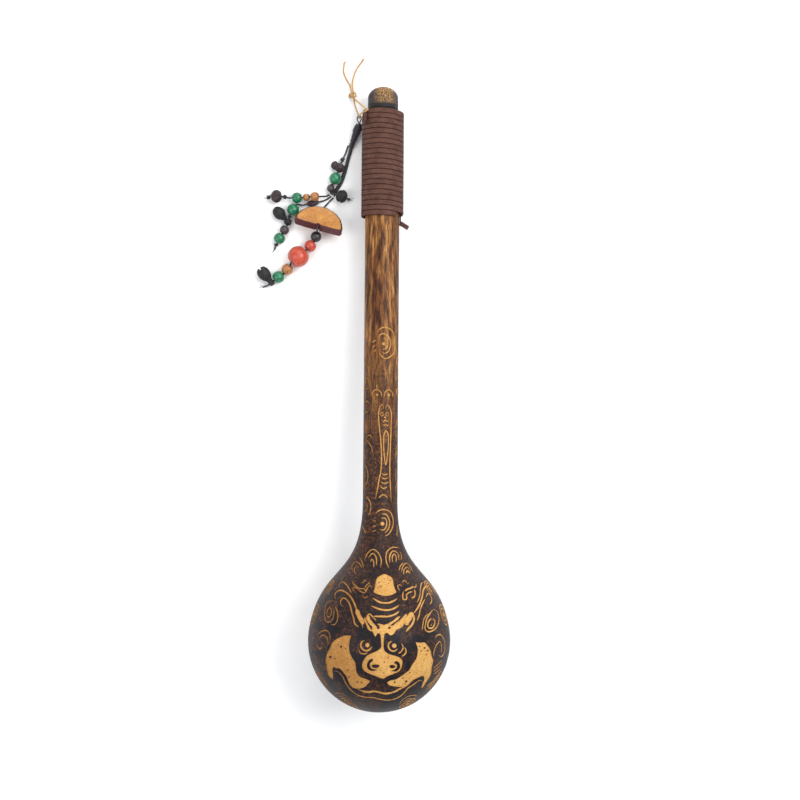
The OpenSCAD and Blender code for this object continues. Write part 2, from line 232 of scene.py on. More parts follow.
# %% [markdown]
# ## Finishes
# A finish is a small tree of shader nodes round one Principled shader. Noise at two or three scales gives the
# colour its variation, and a fine noise drives a bump, so that nothing is one flat colour. Patterns read the
# object's own coordinates, in metres, or an attribute that the mesh carries.

# %% Shader helpers
def finish(name, roughness=0.5, specular=0.5, **constants):
    material = bpy.data.materials.new(name)
    material.use_nodes = True
    tree = material.node_tree
    shader = tree.nodes["Principled BSDF"]
    shader.inputs["Roughness"].default_value = roughness
    shader.inputs["Specular IOR Level"].default_value = specular
    for key, value in constants.items():
        shader.inputs[key.replace("_", " ")].default_value = value
    return material, tree, shader


def object_place(tree, stretch=(1, 1, 1), turn=(0, 0, 0)):
    here = add(tree, "ShaderNodeTexCoord").outputs["Object"]
    return add(tree, "ShaderNodeMapping", {"Vector": here, "Scale": stretch, "Rotation": turn}).outputs[0]


def attribute(tree, name):
    return add(tree, "ShaderNodeAttribute", attribute_name=name)


def noise_of(tree, place, scale, detail=4.0, rough=0.6, distort=0.0):
    inputs = {"Vector": place, "Scale": scale, "Detail": detail, "Roughness": rough, "Distortion": distort}
    return add(tree, "ShaderNodeTexNoise", inputs).outputs["Fac"]


def ramp(tree, factor, *stops):
    """A colour ramp: each stop is (position, colour)."""
    made = add(tree, "ShaderNodeValToRGB", {"Fac": factor})
    elements = made.color_ramp.elements
    while len(elements) < len(stops):
        elements.new(0.5)
    for element, (position, colour) in zip(elements, stops):
        element.position = position
        element.color = (*colour, 1) if isinstance(colour, tuple) else (colour, colour, colour, 1)
    return made.outputs["Color"]


def mix(tree, factor, a, b, blend="MIX"):
    made = add(tree, "ShaderNodeMix", data_type="RGBA", blend_type=blend)
    for socket, value in ((made.inputs[0], factor), (made.inputs[6], a), (made.inputs[7], b)):
        if isinstance(value, bpy.types.NodeSocket):
            tree.links.new(value, socket)
        else:
            socket.default_value = value if isinstance(value, float) else (*value, 1)
    return made.outputs[2]


def calc(tree, operation, a, b=0.0, c=0.0, clamp=False):
    return add(tree, "ShaderNodeMath", {0: a, 1: b, 2: c}, operation=operation, use_clamp=clamp).outputs[0]


def relief(tree, shader, height, distance, strength=0.6):
    bump = add(tree, "ShaderNodeBump", {"Height": height, "Distance": distance, "Strength": strength})
    tree.links.new(bump.outputs[0], shader.inputs["Normal"])


def colour(tree, shader, socket):
    tree.links.new(socket, shader.inputs["Base Color"])


def roughen(tree, shader, factor, low, high):
    made = add(tree, "ShaderNodeMapRange", {"Value": factor, "To Min": low, "To Max": high})
    tree.links.new(made.outputs[0], shader.inputs["Roughness"])


# %% [markdown]
# ## Table, light and camera
# The rattle lies on a plain white table under big soft lamps, and the camera looks straight down at it from
# 1.2 m. It stands a little to the right of the neck, so the rattle lies a little left of the middle of the
# view.

# %% Stage
def paper_white():
    material, tree, shader = finish("paper_white", 0.7, 0.2)
    grain = noise_of(tree, object_place(tree), 40)
    colour(tree, shader, ramp(tree, grain, (0.3, 0.93), (0.7, 0.96)))
    return material


TABLE = 3.0               # half the table's side, in metres
corners = [(x * TABLE, y * TABLE, -0.0001) for x, y in ((-1, -1), (1, -1), (1, 1), (-1, 1))]
table = mesh_object("table", corners, [(0, 1, 2, 3)], [paper_white()])
table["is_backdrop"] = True

world = bpy.data.worlds.new("soft_room")
world.use_nodes = True
world.node_tree.nodes["Background"].inputs["Color"].default_value = (0.95, 0.97, 1, 1)
world.node_tree.nodes["Background"].inputs["Strength"].default_value = 0.68
bpy.context.scene.world = world
bpy.context.scene.view_settings.view_transform = "Standard"


def softbox(name, place, size, power):
    lamp = bpy.data.lights.new(name, "AREA")
    lamp.size, lamp.energy = size, power
    box = bpy.data.objects.new(name, lamp)
    box.location = place
    box.rotation_euler = (-Vector(place)).to_track_quat("-Z", "Y").to_euler()
    bpy.context.scene.collection.objects.link(box)


softbox("softbox_right", (0.9, 0.35, 1.3), 0.9, 18)
softbox("softbox_left", (-1.0, -0.3, 1.2), 1.0, 9)
softbox("softbox_head", (0.1, 1.1, 1.0), 0.8, 7)

eye = bpy.data.cameras.new("camera")
eye.lens, eye.sensor_width = 68.5, 36
camera = bpy.data.objects.new("camera", eye)
camera.location = (0.0146, -0.0047, 1.2)
camera.rotation_euler = (0, 0, math.radians(0.35))
bpy.context.scene.collection.objects.link(camera)
bpy.context.scene.camera = camera
print("camera at", [round(c, 4) for c in camera.location])

# %% [markdown]
# ## Twisted cord
# Hemp string and waxed cord are both laid up from plies that wind round each other. One Geometry Nodes tree
# makes both: it copies the route once for each ply, pushes each copy off the centre line in a direction
# that turns as it goes, and sweeps a small circle along it. Two plies and a short twist give hemp string,
# and three fat plies give the tight, nearly round waxed cord.

# %% The strand tree
def strand_tree():
    tree, given, out = new_tree("Twisted strand", [
        ("Plies", "NodeSocketInt", 3), ("Ply radius", "NodeSocketFloat", 0.0004),
        ("Ply offset", "NodeSocketFloat", 0.0003), ("Twist length", "NodeSocketFloat", 0.005),
        ("Sides", "NodeSocketInt", 8), ("Material", "NodeSocketMaterial", None)])
    run = add(tree, "GeometryNodeMeshToCurve", {"Mesh": given.outputs["Route"]}).outputs[0]
    plies = add(tree, "GeometryNodeDuplicateElements", {"Geometry": run, "Amount": given.outputs["Plies"]},
                domain="SPLINE")
    length = add(tree, "GeometryNodeSplineParameter").outputs["Length"]
    turns = calc(tree, "DIVIDE", length, given.outputs["Twist length"])
    share = calc(tree, "DIVIDE", plies.outputs["Duplicate Index"], given.outputs["Plies"])
    angle = calc(tree, "MULTIPLY", calc(tree, "ADD", turns, share), math.tau)
    aside = add(tree, "ShaderNodeVectorRotate", {
        "Vector": add(tree, "GeometryNodeInputNormal").outputs[0],
        "Axis": add(tree, "GeometryNodeInputTangent").outputs[0], "Angle": angle}, rotation_type="AXIS_ANGLE")
    push = add(tree, "ShaderNodeVectorMath", {0: aside.outputs[0], "Scale": given.outputs["Ply offset"]},
               operation="SCALE").outputs[0]
    moved = add(tree, "GeometryNodeSetPosition", {"Geometry": plies.outputs["Geometry"], "Offset": push})
    section = add(tree, "GeometryNodeCurvePrimitiveCircle",
                  {"Resolution": given.outputs["Sides"],
                   "Radius": given.outputs["Ply radius"]}).outputs["Curve"]
    tube = add(tree, "GeometryNodeCurveToMesh", {
        "Curve": moved.outputs[0], "Profile Curve": section, "Fill Caps": True}).outputs[0]
    real = add(tree, "GeometryNodeRealizeInstances", {"Geometry": tube}).outputs[0]
    soft = add(tree, "GeometryNodeSetShadeSmooth", {"Geometry": real}).outputs[0]
    coloured = add(tree, "GeometryNodeSetMaterial", {"Geometry": soft, "Material": given.outputs["Material"]})
    tree.links.new(coloured.outputs[0], out.inputs[0])
    return tree


STRAND = strand_tree()


def waxed_cord():
    material, tree, shader = finish("waxed_cord", 0.42, 0.5, Coat_Weight=0.15, Coat_Roughness=0.35)
    place = object_place(tree)
    wax = noise_of(tree, place, 900, 3)
    colour(tree, shader, ramp(tree, wax, (0.3, (0.006, 0.006, 0.009)), (0.75, (0.035, 0.034, 0.045))))
    relief(tree, shader, noise_of(tree, place, 3500, 2), 0.00008)
    roughen(tree, shader, wax, 0.35, 0.6)
    return material


def hemp_fibre():
    material, tree, shader = finish("hemp_fibre", 0.85, 0.25, Sheen_Weight=0.3, Sheen_Roughness=0.5)
    place = object_place(tree)
    fibre = noise_of(tree, place, 2600, 5, 0.7)
    patch = noise_of(tree, place, 240, 2)
    pale = ramp(tree, fibre, (0.3, (0.33, 0.2, 0.075)), (0.52, (0.62, 0.42, 0.19)), (0.8, (0.86, 0.68, 0.4)))
    colour(tree, shader, mix(tree, patch, pale, (0.7, 0.48, 0.22), "MULTIPLY"))
    relief(tree, shader, fibre, 0.0002, 0.9)
    return material


WAXED, HEMP = waxed_cord(), hemp_fibre()


def strand(name, route, diameter, kind):
    """A twisted cord along a route, of hemp or of waxed cord."""
    shape = {"hemp": (2, 0.33, 0.32, 0.0042, HEMP), "waxed": (3, 0.31, 0.2, 0.0048, WAXED)}[kind]
    plies, ply_r, offset, twist, material = shape
    return run_along(name, STRAND, route, {
        "Plies": plies, "Ply radius": ply_r * diameter, "Ply offset": offset * diameter,
        "Twist length": twist, "Sides": 8, "Material": material})


# %% [markdown]
# ## The cords' routes
# A cord has one real length, so its route is settled first. The points are the ones that the frame's own
# cords follow, in millimetres. The pair of points at the two ends of a bead or a seed is a straight stretch,
# and the number given with each bead further down says at which point that stretch starts.

# %% Routes
CORD_D, HEMP_D, EYE_D = 1.4 * MM, 1.2 * MM, 1.0 * MM
loop_back = in_mm((-11.6, 219, 25.8), (-15.2, 222.8, 19), (-19, 227.5, 11), (-22.4, 231.5, 4.6))
loop_front = in_mm((-11.6, 219, 25.8), (-13.6, 218.2, 25.2), (-16.8, 217, 21.4), (-18.4, 216, 17),
                   (-18.6, 214.9, 13), (-19.2, 217, 10.6), (-20.6, 221.5, 8), (-22, 226, 5.4),
                   (-23, 231.3, 3.2))
hemp_left = in_mm((-25, 238, 2.6), (-26.4, 243, 1.2), (-29.6, 248.6, 0.7), (-31.4, 253.6, 0.7),
                  (-31, 259, 0.7))
hemp_right = in_mm((-23.8, 238.2, 3.4), (-24.2, 244, 2.2), (-23.4, 250, 1), (-21, 256, 0.7),
                   (-17, 261.6, 0.7))
eye_route = in_mm(
    (-18.2, 212.1, 9.9), (-17.4, 213.3, 11.4), (-17.1, 214.9, 12.8), (-17.7, 216.2, 13.2),
    (-18.6, 216.6, 13.3), (-19.5, 216.2, 13.2), (-20.1, 214.9, 12.8), (-19.8, 213.3, 11.2), (-19, 212, 9.7))
knot_top, knot_bottom = in_mm((-18.2, 211.4, 8.9), (-24.2, 196.8, 2.6))
bundle = {
    "left": in_mm((-25.1, 195.4, 1.5), (-27.6, 187, 0.7), (-30.4, 176, 0.7), (-33.4, 167, 0.7),
                  (-37.5, 160.6, 0.7), (-41, 157.4, 0.7)),
    "right": in_mm((-23.8, 195.1, 1.5), (-26.1, 186.7, 0.7), (-28.9, 175.6, 0.7), (-31.9, 166.4, 0.7),
                   (-36.1, 159.4, 0.7), (-38.2, 155.6, 0.7)),
    "top": in_mm((-24.5, 195.2, 2.9), (-26.9, 186.8, 2), (-29.7, 175.8, 2), (-32.6, 166.7, 2),
                 (-36.7, 160.2, 2), (-39.7, 156.4, 0.9)),
}
side_route = in_mm(
    (-27.4, 195.2, 2.2), (-29.4, 189.5, 1.2), (-31.2, 185, 2.6), (-32, 182.8, 3.4),
    (-32.8, 181.2, 4), (-35.2, 173.8, 4.6), (-36, 172.8, 4.8), (-38.4, 164.8, 4.8),
    (-40.7, 164.1, 3.4), (-41.1, 158.6, 3.4), (-38.8, 156.9, 6), (-36.4, 156.3, 7.7), (-27.8, 153.3, 2.8),
    (-27.2, 153.1, 2.2), (-25.8, 152.6, 1.4))
left_route = in_mm(
    (-42.2, 156.5, 0.9), (-44.4, 155.3, 2.2), (-46.8, 154.7, 5), (-49.6, 154.3, 7.6), (-56.6, 154.3, 7.2),
    (-57.4, 154.2, 5), (-62.2, 153.8, 3.6), (-63.3, 153.6, 4.4), (-71.3, 153.6, 4.4), (-73.4, 153.7, 2.4),
    (-75.6, 154, 3.4), (-78.2, 154.3, 4.6), (-78.8, 154.5, 5.2), (-88, 154.6, 5.2),
    (-88.5, 154.4, 4.4), (-90.8, 153.8, 2.4))
lower_route = in_mm(
    (-40.8, 155.3, 0.8), (-43.6, 153.2, 0.8), (-46.8, 151.6, 1.6), (-49.4, 150.8, 2.6), (-60.2, 148.8, 2.6),
    (-63, 148.2, 1.8), (-65.4, 148.5, 3.2), (-67.9, 148.1, 4.8), (-72.4, 140.3, 4.8),
    (-72.8, 139.5, 4.4), (-73.2, 138.2, 4), (-73.4, 137.9, 4), (-75.2, 131.5, 4),
    (-75.4, 131.1, 4), (-78.6, 125.5, 4), (-79, 125.2, 4.5), (-82.8, 118.1, 4.5),
    (-83.2, 117.4, 3.6), (-84, 115.8, 2.4), (-85, 113, 0.8))
pendant_route = in_mm(
    (-39, 154.2, 0.8), (-41.2, 152, 0.8), (-43.4, 149.6, 0.9), (-45.9, 146.2, 1.9), (-50.8, 128, 15.1),
    (-50.9, 126.5, 13.4), (-51.1, 125.5, 10.9), (-52.7, 119.7, 6.9), (-53.7, 118.7, 6), (-59.3, 112.5, 7),
    (-60.1, 112, 7.9), (-71.3, 102.2, 8.7), (-72, 100.9, 5.2), (-77, 93.8, 4.6),
    (-78, 93.9, 4.8), (-84.8, 88.8, 4.8), (-85, 88.6, 4.6), (-88.9, 85.3, 4.6), (-91, 84.3, 2),
    (-93.8, 83.6, 0.8))

# %% [markdown]
# ## Laying the cords
# The hemp is one string: from where it comes off the grip, both its runs go through one knot and end in loose,
# frayed ends. Each waxed cord keeps the length that its route has.

# %% Hemp tie and waxed cords
cords = {}


def lay_cord(name, points, diameter, kind, body, nodes):
    route = smooth_route(points)
    piece = strand(name, route, diameter, kind)
    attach(piece, body)
    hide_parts(*nodes)
    cords[name] = {"piece": piece, "route": route, "diameter": diameter}


lay_cord("hemp_string_left", loop_back + hemp_left, HEMP_D, "hemp", "hemp_tie",
         ["hemp_loop", "hemp_end_left"])
lay_cord("hemp_string_right", loop_front + hemp_right, HEMP_D, "hemp", "hemp_tie",
         ["hemp_loop", "hemp_end_right"])
for place, points in bundle.items():
    lay_cord("bundle_cord_" + place + "_laid", points, CORD_D, "waxed", "tassel", ["bundle_cord_" + place])
for place, points in (("side", side_route), ("left", left_route), ("lower", lower_route),
                      ("pendant", pendant_route)):
    lay_cord(place + "_cord_laid", points, CORD_D, "waxed", place + "_strand", [place + "_cord"])
for name, cord in cords.items():
    print(name, round(run_length(cord["route"]) / MM, 1), "mm")

# %% [markdown]
# ## The carved gourd
# The maker burns the skin, draws on it, and cuts the lines and areas through it with a gouge. A bump map
# can't give those crisp edges, so the cuts are real. The skin is unrolled onto a flat chart, the marks are
# drawn on the chart, and a constrained triangulation puts an edge along each of them. Triangles inside a
# mark are then sunk below the skin, with a wall round them. The chart is conformal, as a sea map is: a
# small circle stays a circle, so a mark keeps its width wherever it lies.

# %% The chart
SPACING = 2.3 * MM        # between the plain points of the skin
CUT_DEPTH = 0.45 * MM
ARC = np.concatenate([[0], np.cumsum(np.hypot(np.diff(S), np.diff(R)))])
MERCATOR = np.concatenate([[0], np.cumsum(np.diff(ARC) / ((R[1:] + R[:-1]) / 2))])


def charted(s, angle):
    """The chart's two coordinates for a place on the skin."""
    return angle, float(np.interp(s, S, MERCATOR))


def on_face(x, s, turn=0.0, lat=0.0):
    """A place on the skin (s, angle), given x to the right and s as they look from above, in millimetres.
    The view may be turned about the axis, in degrees, or moved to another latitude of the bulb."""
    x, s = x * MM, s * MM
    if not lat:
        radius = float(np.interp(s, S, R))
        return s, math.radians(turn) + math.asin(max(-0.99, min(0.99, x / radius)))
    height = math.sqrt(max(0, BULB_R ** 2 - x * x - s * s))
    lat = math.radians(lat)
    up = math.cos(lat) * height - math.sin(lat) * s
    return math.sin(lat) * height + math.cos(lat) * s, math.radians(turn) + math.atan2(x, up)


marks = []                # each is (outlines on the chart, whether it is cut)


def cut_line(width, points, turn=0.0, lat=0.0, closed=False):
    """A gouged line through points, thinner at its ends."""
    run = smooth_route([(x, s, 0) for x, s in points], 1.1, closed)
    run = run + run[:2] if closed else run
    places = [on_face(p.x, p.y, turn, lat) for p in run]
    chart = [Vector(charted(*place)) for place in places]
    left, right = [], []
    for i, (here, (s, _)) in enumerate(zip(chart, places)):
        ahead = (chart[min(i + 1, len(chart) - 1)] - chart[max(i - 1, 0)]).normalized()
        share = i / (len(chart) - 1)
        taper = 1 if closed else min(1, 0.35 + 5 * min(share, 1 - share))
        waver = 1 + 0.25 * noise.noise(Vector((i * 0.45, width * 7, points[0][0])))
        half = width * MM / 2 * taper * waver / float(np.interp(s, S, R))
        aside = Vector((-ahead.y, ahead.x)) * half
        left.append(here + aside)
        right.append(here - aside)
    marks.append(([[a, b, c, d] for a, b, c, d in zip(right, right[1:], left[1:], left)], True))


def cut_area(points, turn=0.0, lat=0.0, cut=True):
    """An area bounded by a smooth closed line; a point given twice is a corner. With cut off, it is left as
    skin inside a bigger area."""
    run = smooth_route([(x, s, 0) for x, s in points], 1.1, closed=True)
    marks.append(([[Vector(charted(*on_face(p.x, p.y, turn, lat))) for p in run]], cut))


def cut_dot(x, s, size, turn=0.0, lat=0.0, cut=True):
    angles = np.linspace(0, math.tau, 9)[:-1]
    ring = [(x + size / 2 * math.cos(a), s + size / 2 * math.sin(a)) for a in angles]
    cut_area(ring, turn, lat, cut)


print("the skin's chart is", round(MERCATOR[-1], 2), "high and", round(math.tau, 2), "wide")

# %% [markdown]
# ## The beast's face on the bulb
# The face looks up from the bulb: a dome and three bands on its brow, curled horns and flaming eyebrows,
# ring eyes, a broad snout with comma nostrils, and two big cheek plates above a long wavy lip. Each line
# below is a width and its points, with x to the right and s up the axis, in millimetres.

# %% Marks of the face
cut_area([(-4, 37), (-4, 37), (-3, 40), (-2.5, 43.5), (-1.5, 47), (1, 49), (4, 50), (7, 49), (9.5, 47.5),
          (10.5, 44.5), (11, 41.5), (13, 37), (13, 37), (9, 35), (4.5, 34.5), (-0.5, 35.5)])
for pit in ((0, 44, 0.9), (1.5, 41, 1), (6.5, 47, 0.8), (8.5, 45.5, 0.9), (4, 46.5, 0.7), (7, 43.5, 0.6)):
    cut_dot(*pit, cut=False)
for band in ([(-4.5, 33), (1, 30), (6.5, 29.5), (10, 30.5), (13.5, 32.5)],
             [(-5.5, 27.5), (1, 25), (7.5, 24.5), (12, 26), (15, 28)],
             [(-3.5, 20), (2, 20), (7.5, 20), (12, 21.5), (15, 23.5)]):
    cut_line(1.4, band)

LEFT_CHEEK = [
    (-19.5, 6), (-19.5, 6), (-24, 6), (-29, 4), (-33, 1), (-35, -3), (-37.5, -8), (-38.5, -12.5),
    (-38, -16.5), (-37.5, -20.5), (-36, -24.5), (-33.5, -27), (-33.5, -27), (-33, -23), (-33.5, -20),
    (-32.5, -17), (-32.5, -17), (-30.5, -18), (-28, -18), (-25, -21), (-23, -23.5), (-21.5, -27.5),
    (-19.5, -31), (-16, -32.5), (-11.5, -32), (-9, -30.5), (-5.5, -26.5), (-5.5, -26.5), (-9, -25),
    (-13, -23.5), (-15.5, -20), (-16, -16), (-16.5, -13), (-18.5, -10), (-20.5, -6), (-21, -1.5),
    (-20.5, 2.5)]
RIGHT_CHEEK = [
    (27, 1.5), (27, 1.5), (30, 1), (33.5, 1), (36, -1.5), (38, -5), (39, -9.5), (40, -12.5), (39, -17.5),
    (38.5, -22.5), (37, -25.5), (35, -28.5), (33, -32), (31.5, -33), (31.5, -33), (32.5, -29.5),
    (33.5, -27), (33.5, -24.5), (32, -23.5), (29, -24.5), (25, -26.5), (22, -29.5), (18.5, -31),
    (12, -30.5), (8, -29.5), (6.5, -27.5), (6.5, -27.5), (9, -26), (12, -25.5), (16, -23.5), (19.5, -21),
    (22.5, -18.5), (24.5, -15), (27.5, -10.5), (28.5, -6.5), (28.5, -3)]
SNOUT = [
    (2, 8), (2, 2.5), (2, -2), (0, -4), (-4, -6), (-8, -8), (-10.5, -11.5), (-11.5, -14.5), (-11, -17.5),
    (-8.5, -20), (-5, -21.5), (-1, -23), (3.5, -24.5), (7.5, -22.5), (11.5, -21), (15.5, -19), (17, -16),
    (17.5, -12), (16, -9.5), (12, -8), (7.5, -6.5), (4.8, -4.5), (4, -2), (4, 3), (4, 8)]
cut_area(LEFT_CHEEK)
cut_area(RIGHT_CHEEK)
cut_area(SNOUT)
for comma in ([(-3.5, -10.5), (-5.5, -10.5), (-7.5, -13), (-8, -16), (-6, -18.5), (-3, -19), (-0.5, -18),
               (-0.5, -18), (-3, -17.8), (-5, -17), (-6, -15), (-5.5, -13), (-4, -12)],
              [(11.5, -13), (13, -11.8), (15, -13), (16, -16), (14.5, -18.5), (12, -19.5), (9.5, -18.8),
               (9.5, -18.8), (12, -18), (13.5, -16.5), (13.5, -14.5)]):
    cut_area(comma, cut=False)
cut_area([(-4.5, -15), (-1.5, -14.3), (1, -14.8), (0, -16.5), (-3.5, -16.6)], cut=False)
cut_area([(8, -15.5), (10, -14.5), (12.5, -15.8), (11, -17), (9, -16.8)], cut=False)
for freckle in ((2.5, -9, 0.7), (4.5, -12.5, 0.8), (2, -18.5, 0.6), (6, -17.5, 0.6), (4, -20.5, 0.6),
                (-27, -2, 1.6), (-23.5, -3.5, 0.9), (-35, -10, 1.9), (-31.5, -11, 1), (-22, -19, 1),
                (-21, -24, 1.1), (-15, -27.5, 1.2), (-12, -28, 1), (30, -1.5, 1), (33.5, -3, 1.4),
                (36, -5, 1.2), (31, -5, 1), (35, -8, 0.9), (23, -20.5, 0.9), (18, -24.5, 1),
                (12, -27.5, 1.3), (20.5, -27, 1.6)):
    cut_dot(*freckle, cut=False)

for width, line in (
        (1.1, [(-32.5, -20.5), (-30.5, -20), (-28, -21.5), (-25.5, -24.5), (-24, -28), (-21.5, -32),
               (-18, -35.5), (-14, -38), (-9.5, -39), (-3.5, -39.3), (0, -40.2), (5, -41.2), (11, -40.8),
               (16, -38.5), (19, -35.5), (22, -32), (26, -29.5), (29.5, -27), (31.5, -26.8), (32.5, -28.5)]),
        (1.8, [(-15, -33), (-10.5, -34.5), (-7, -35), (-3, -34.3), (0, -34.8), (4.5, -36), (8, -35.8),
               (12, -34.7), (16, -32.5), (20.5, -30.5)]),
        (1.3, [(-10, 3), (-12, 1.5), (-12.5, -1), (-11, -3.5), (-8.5, -4.5), (-6, -3.5), (-4.5, -1.5)]),
        (0.9, [(-14, -3.5), (-13, -6), (-10.5, -6.8), (-7.5, -6)]),
        (1.2, [(10, 2.5), (7.7, 1), (7.5, -2), (9, -4), (11.5, -4.7), (14, -3)]),
        (0.9, [(16.5, 1), (18, -1.5), (17, -4.5), (14.5, -6.5)]),
        (1.1, [(19, -2), (20.2, -5), (19, -7.2), (17, -8.5)])):
    cut_line(width, line)
cut_dot(-7.7, -0.4, 3.4)
cut_dot(11.6, -0.8, 3.4)

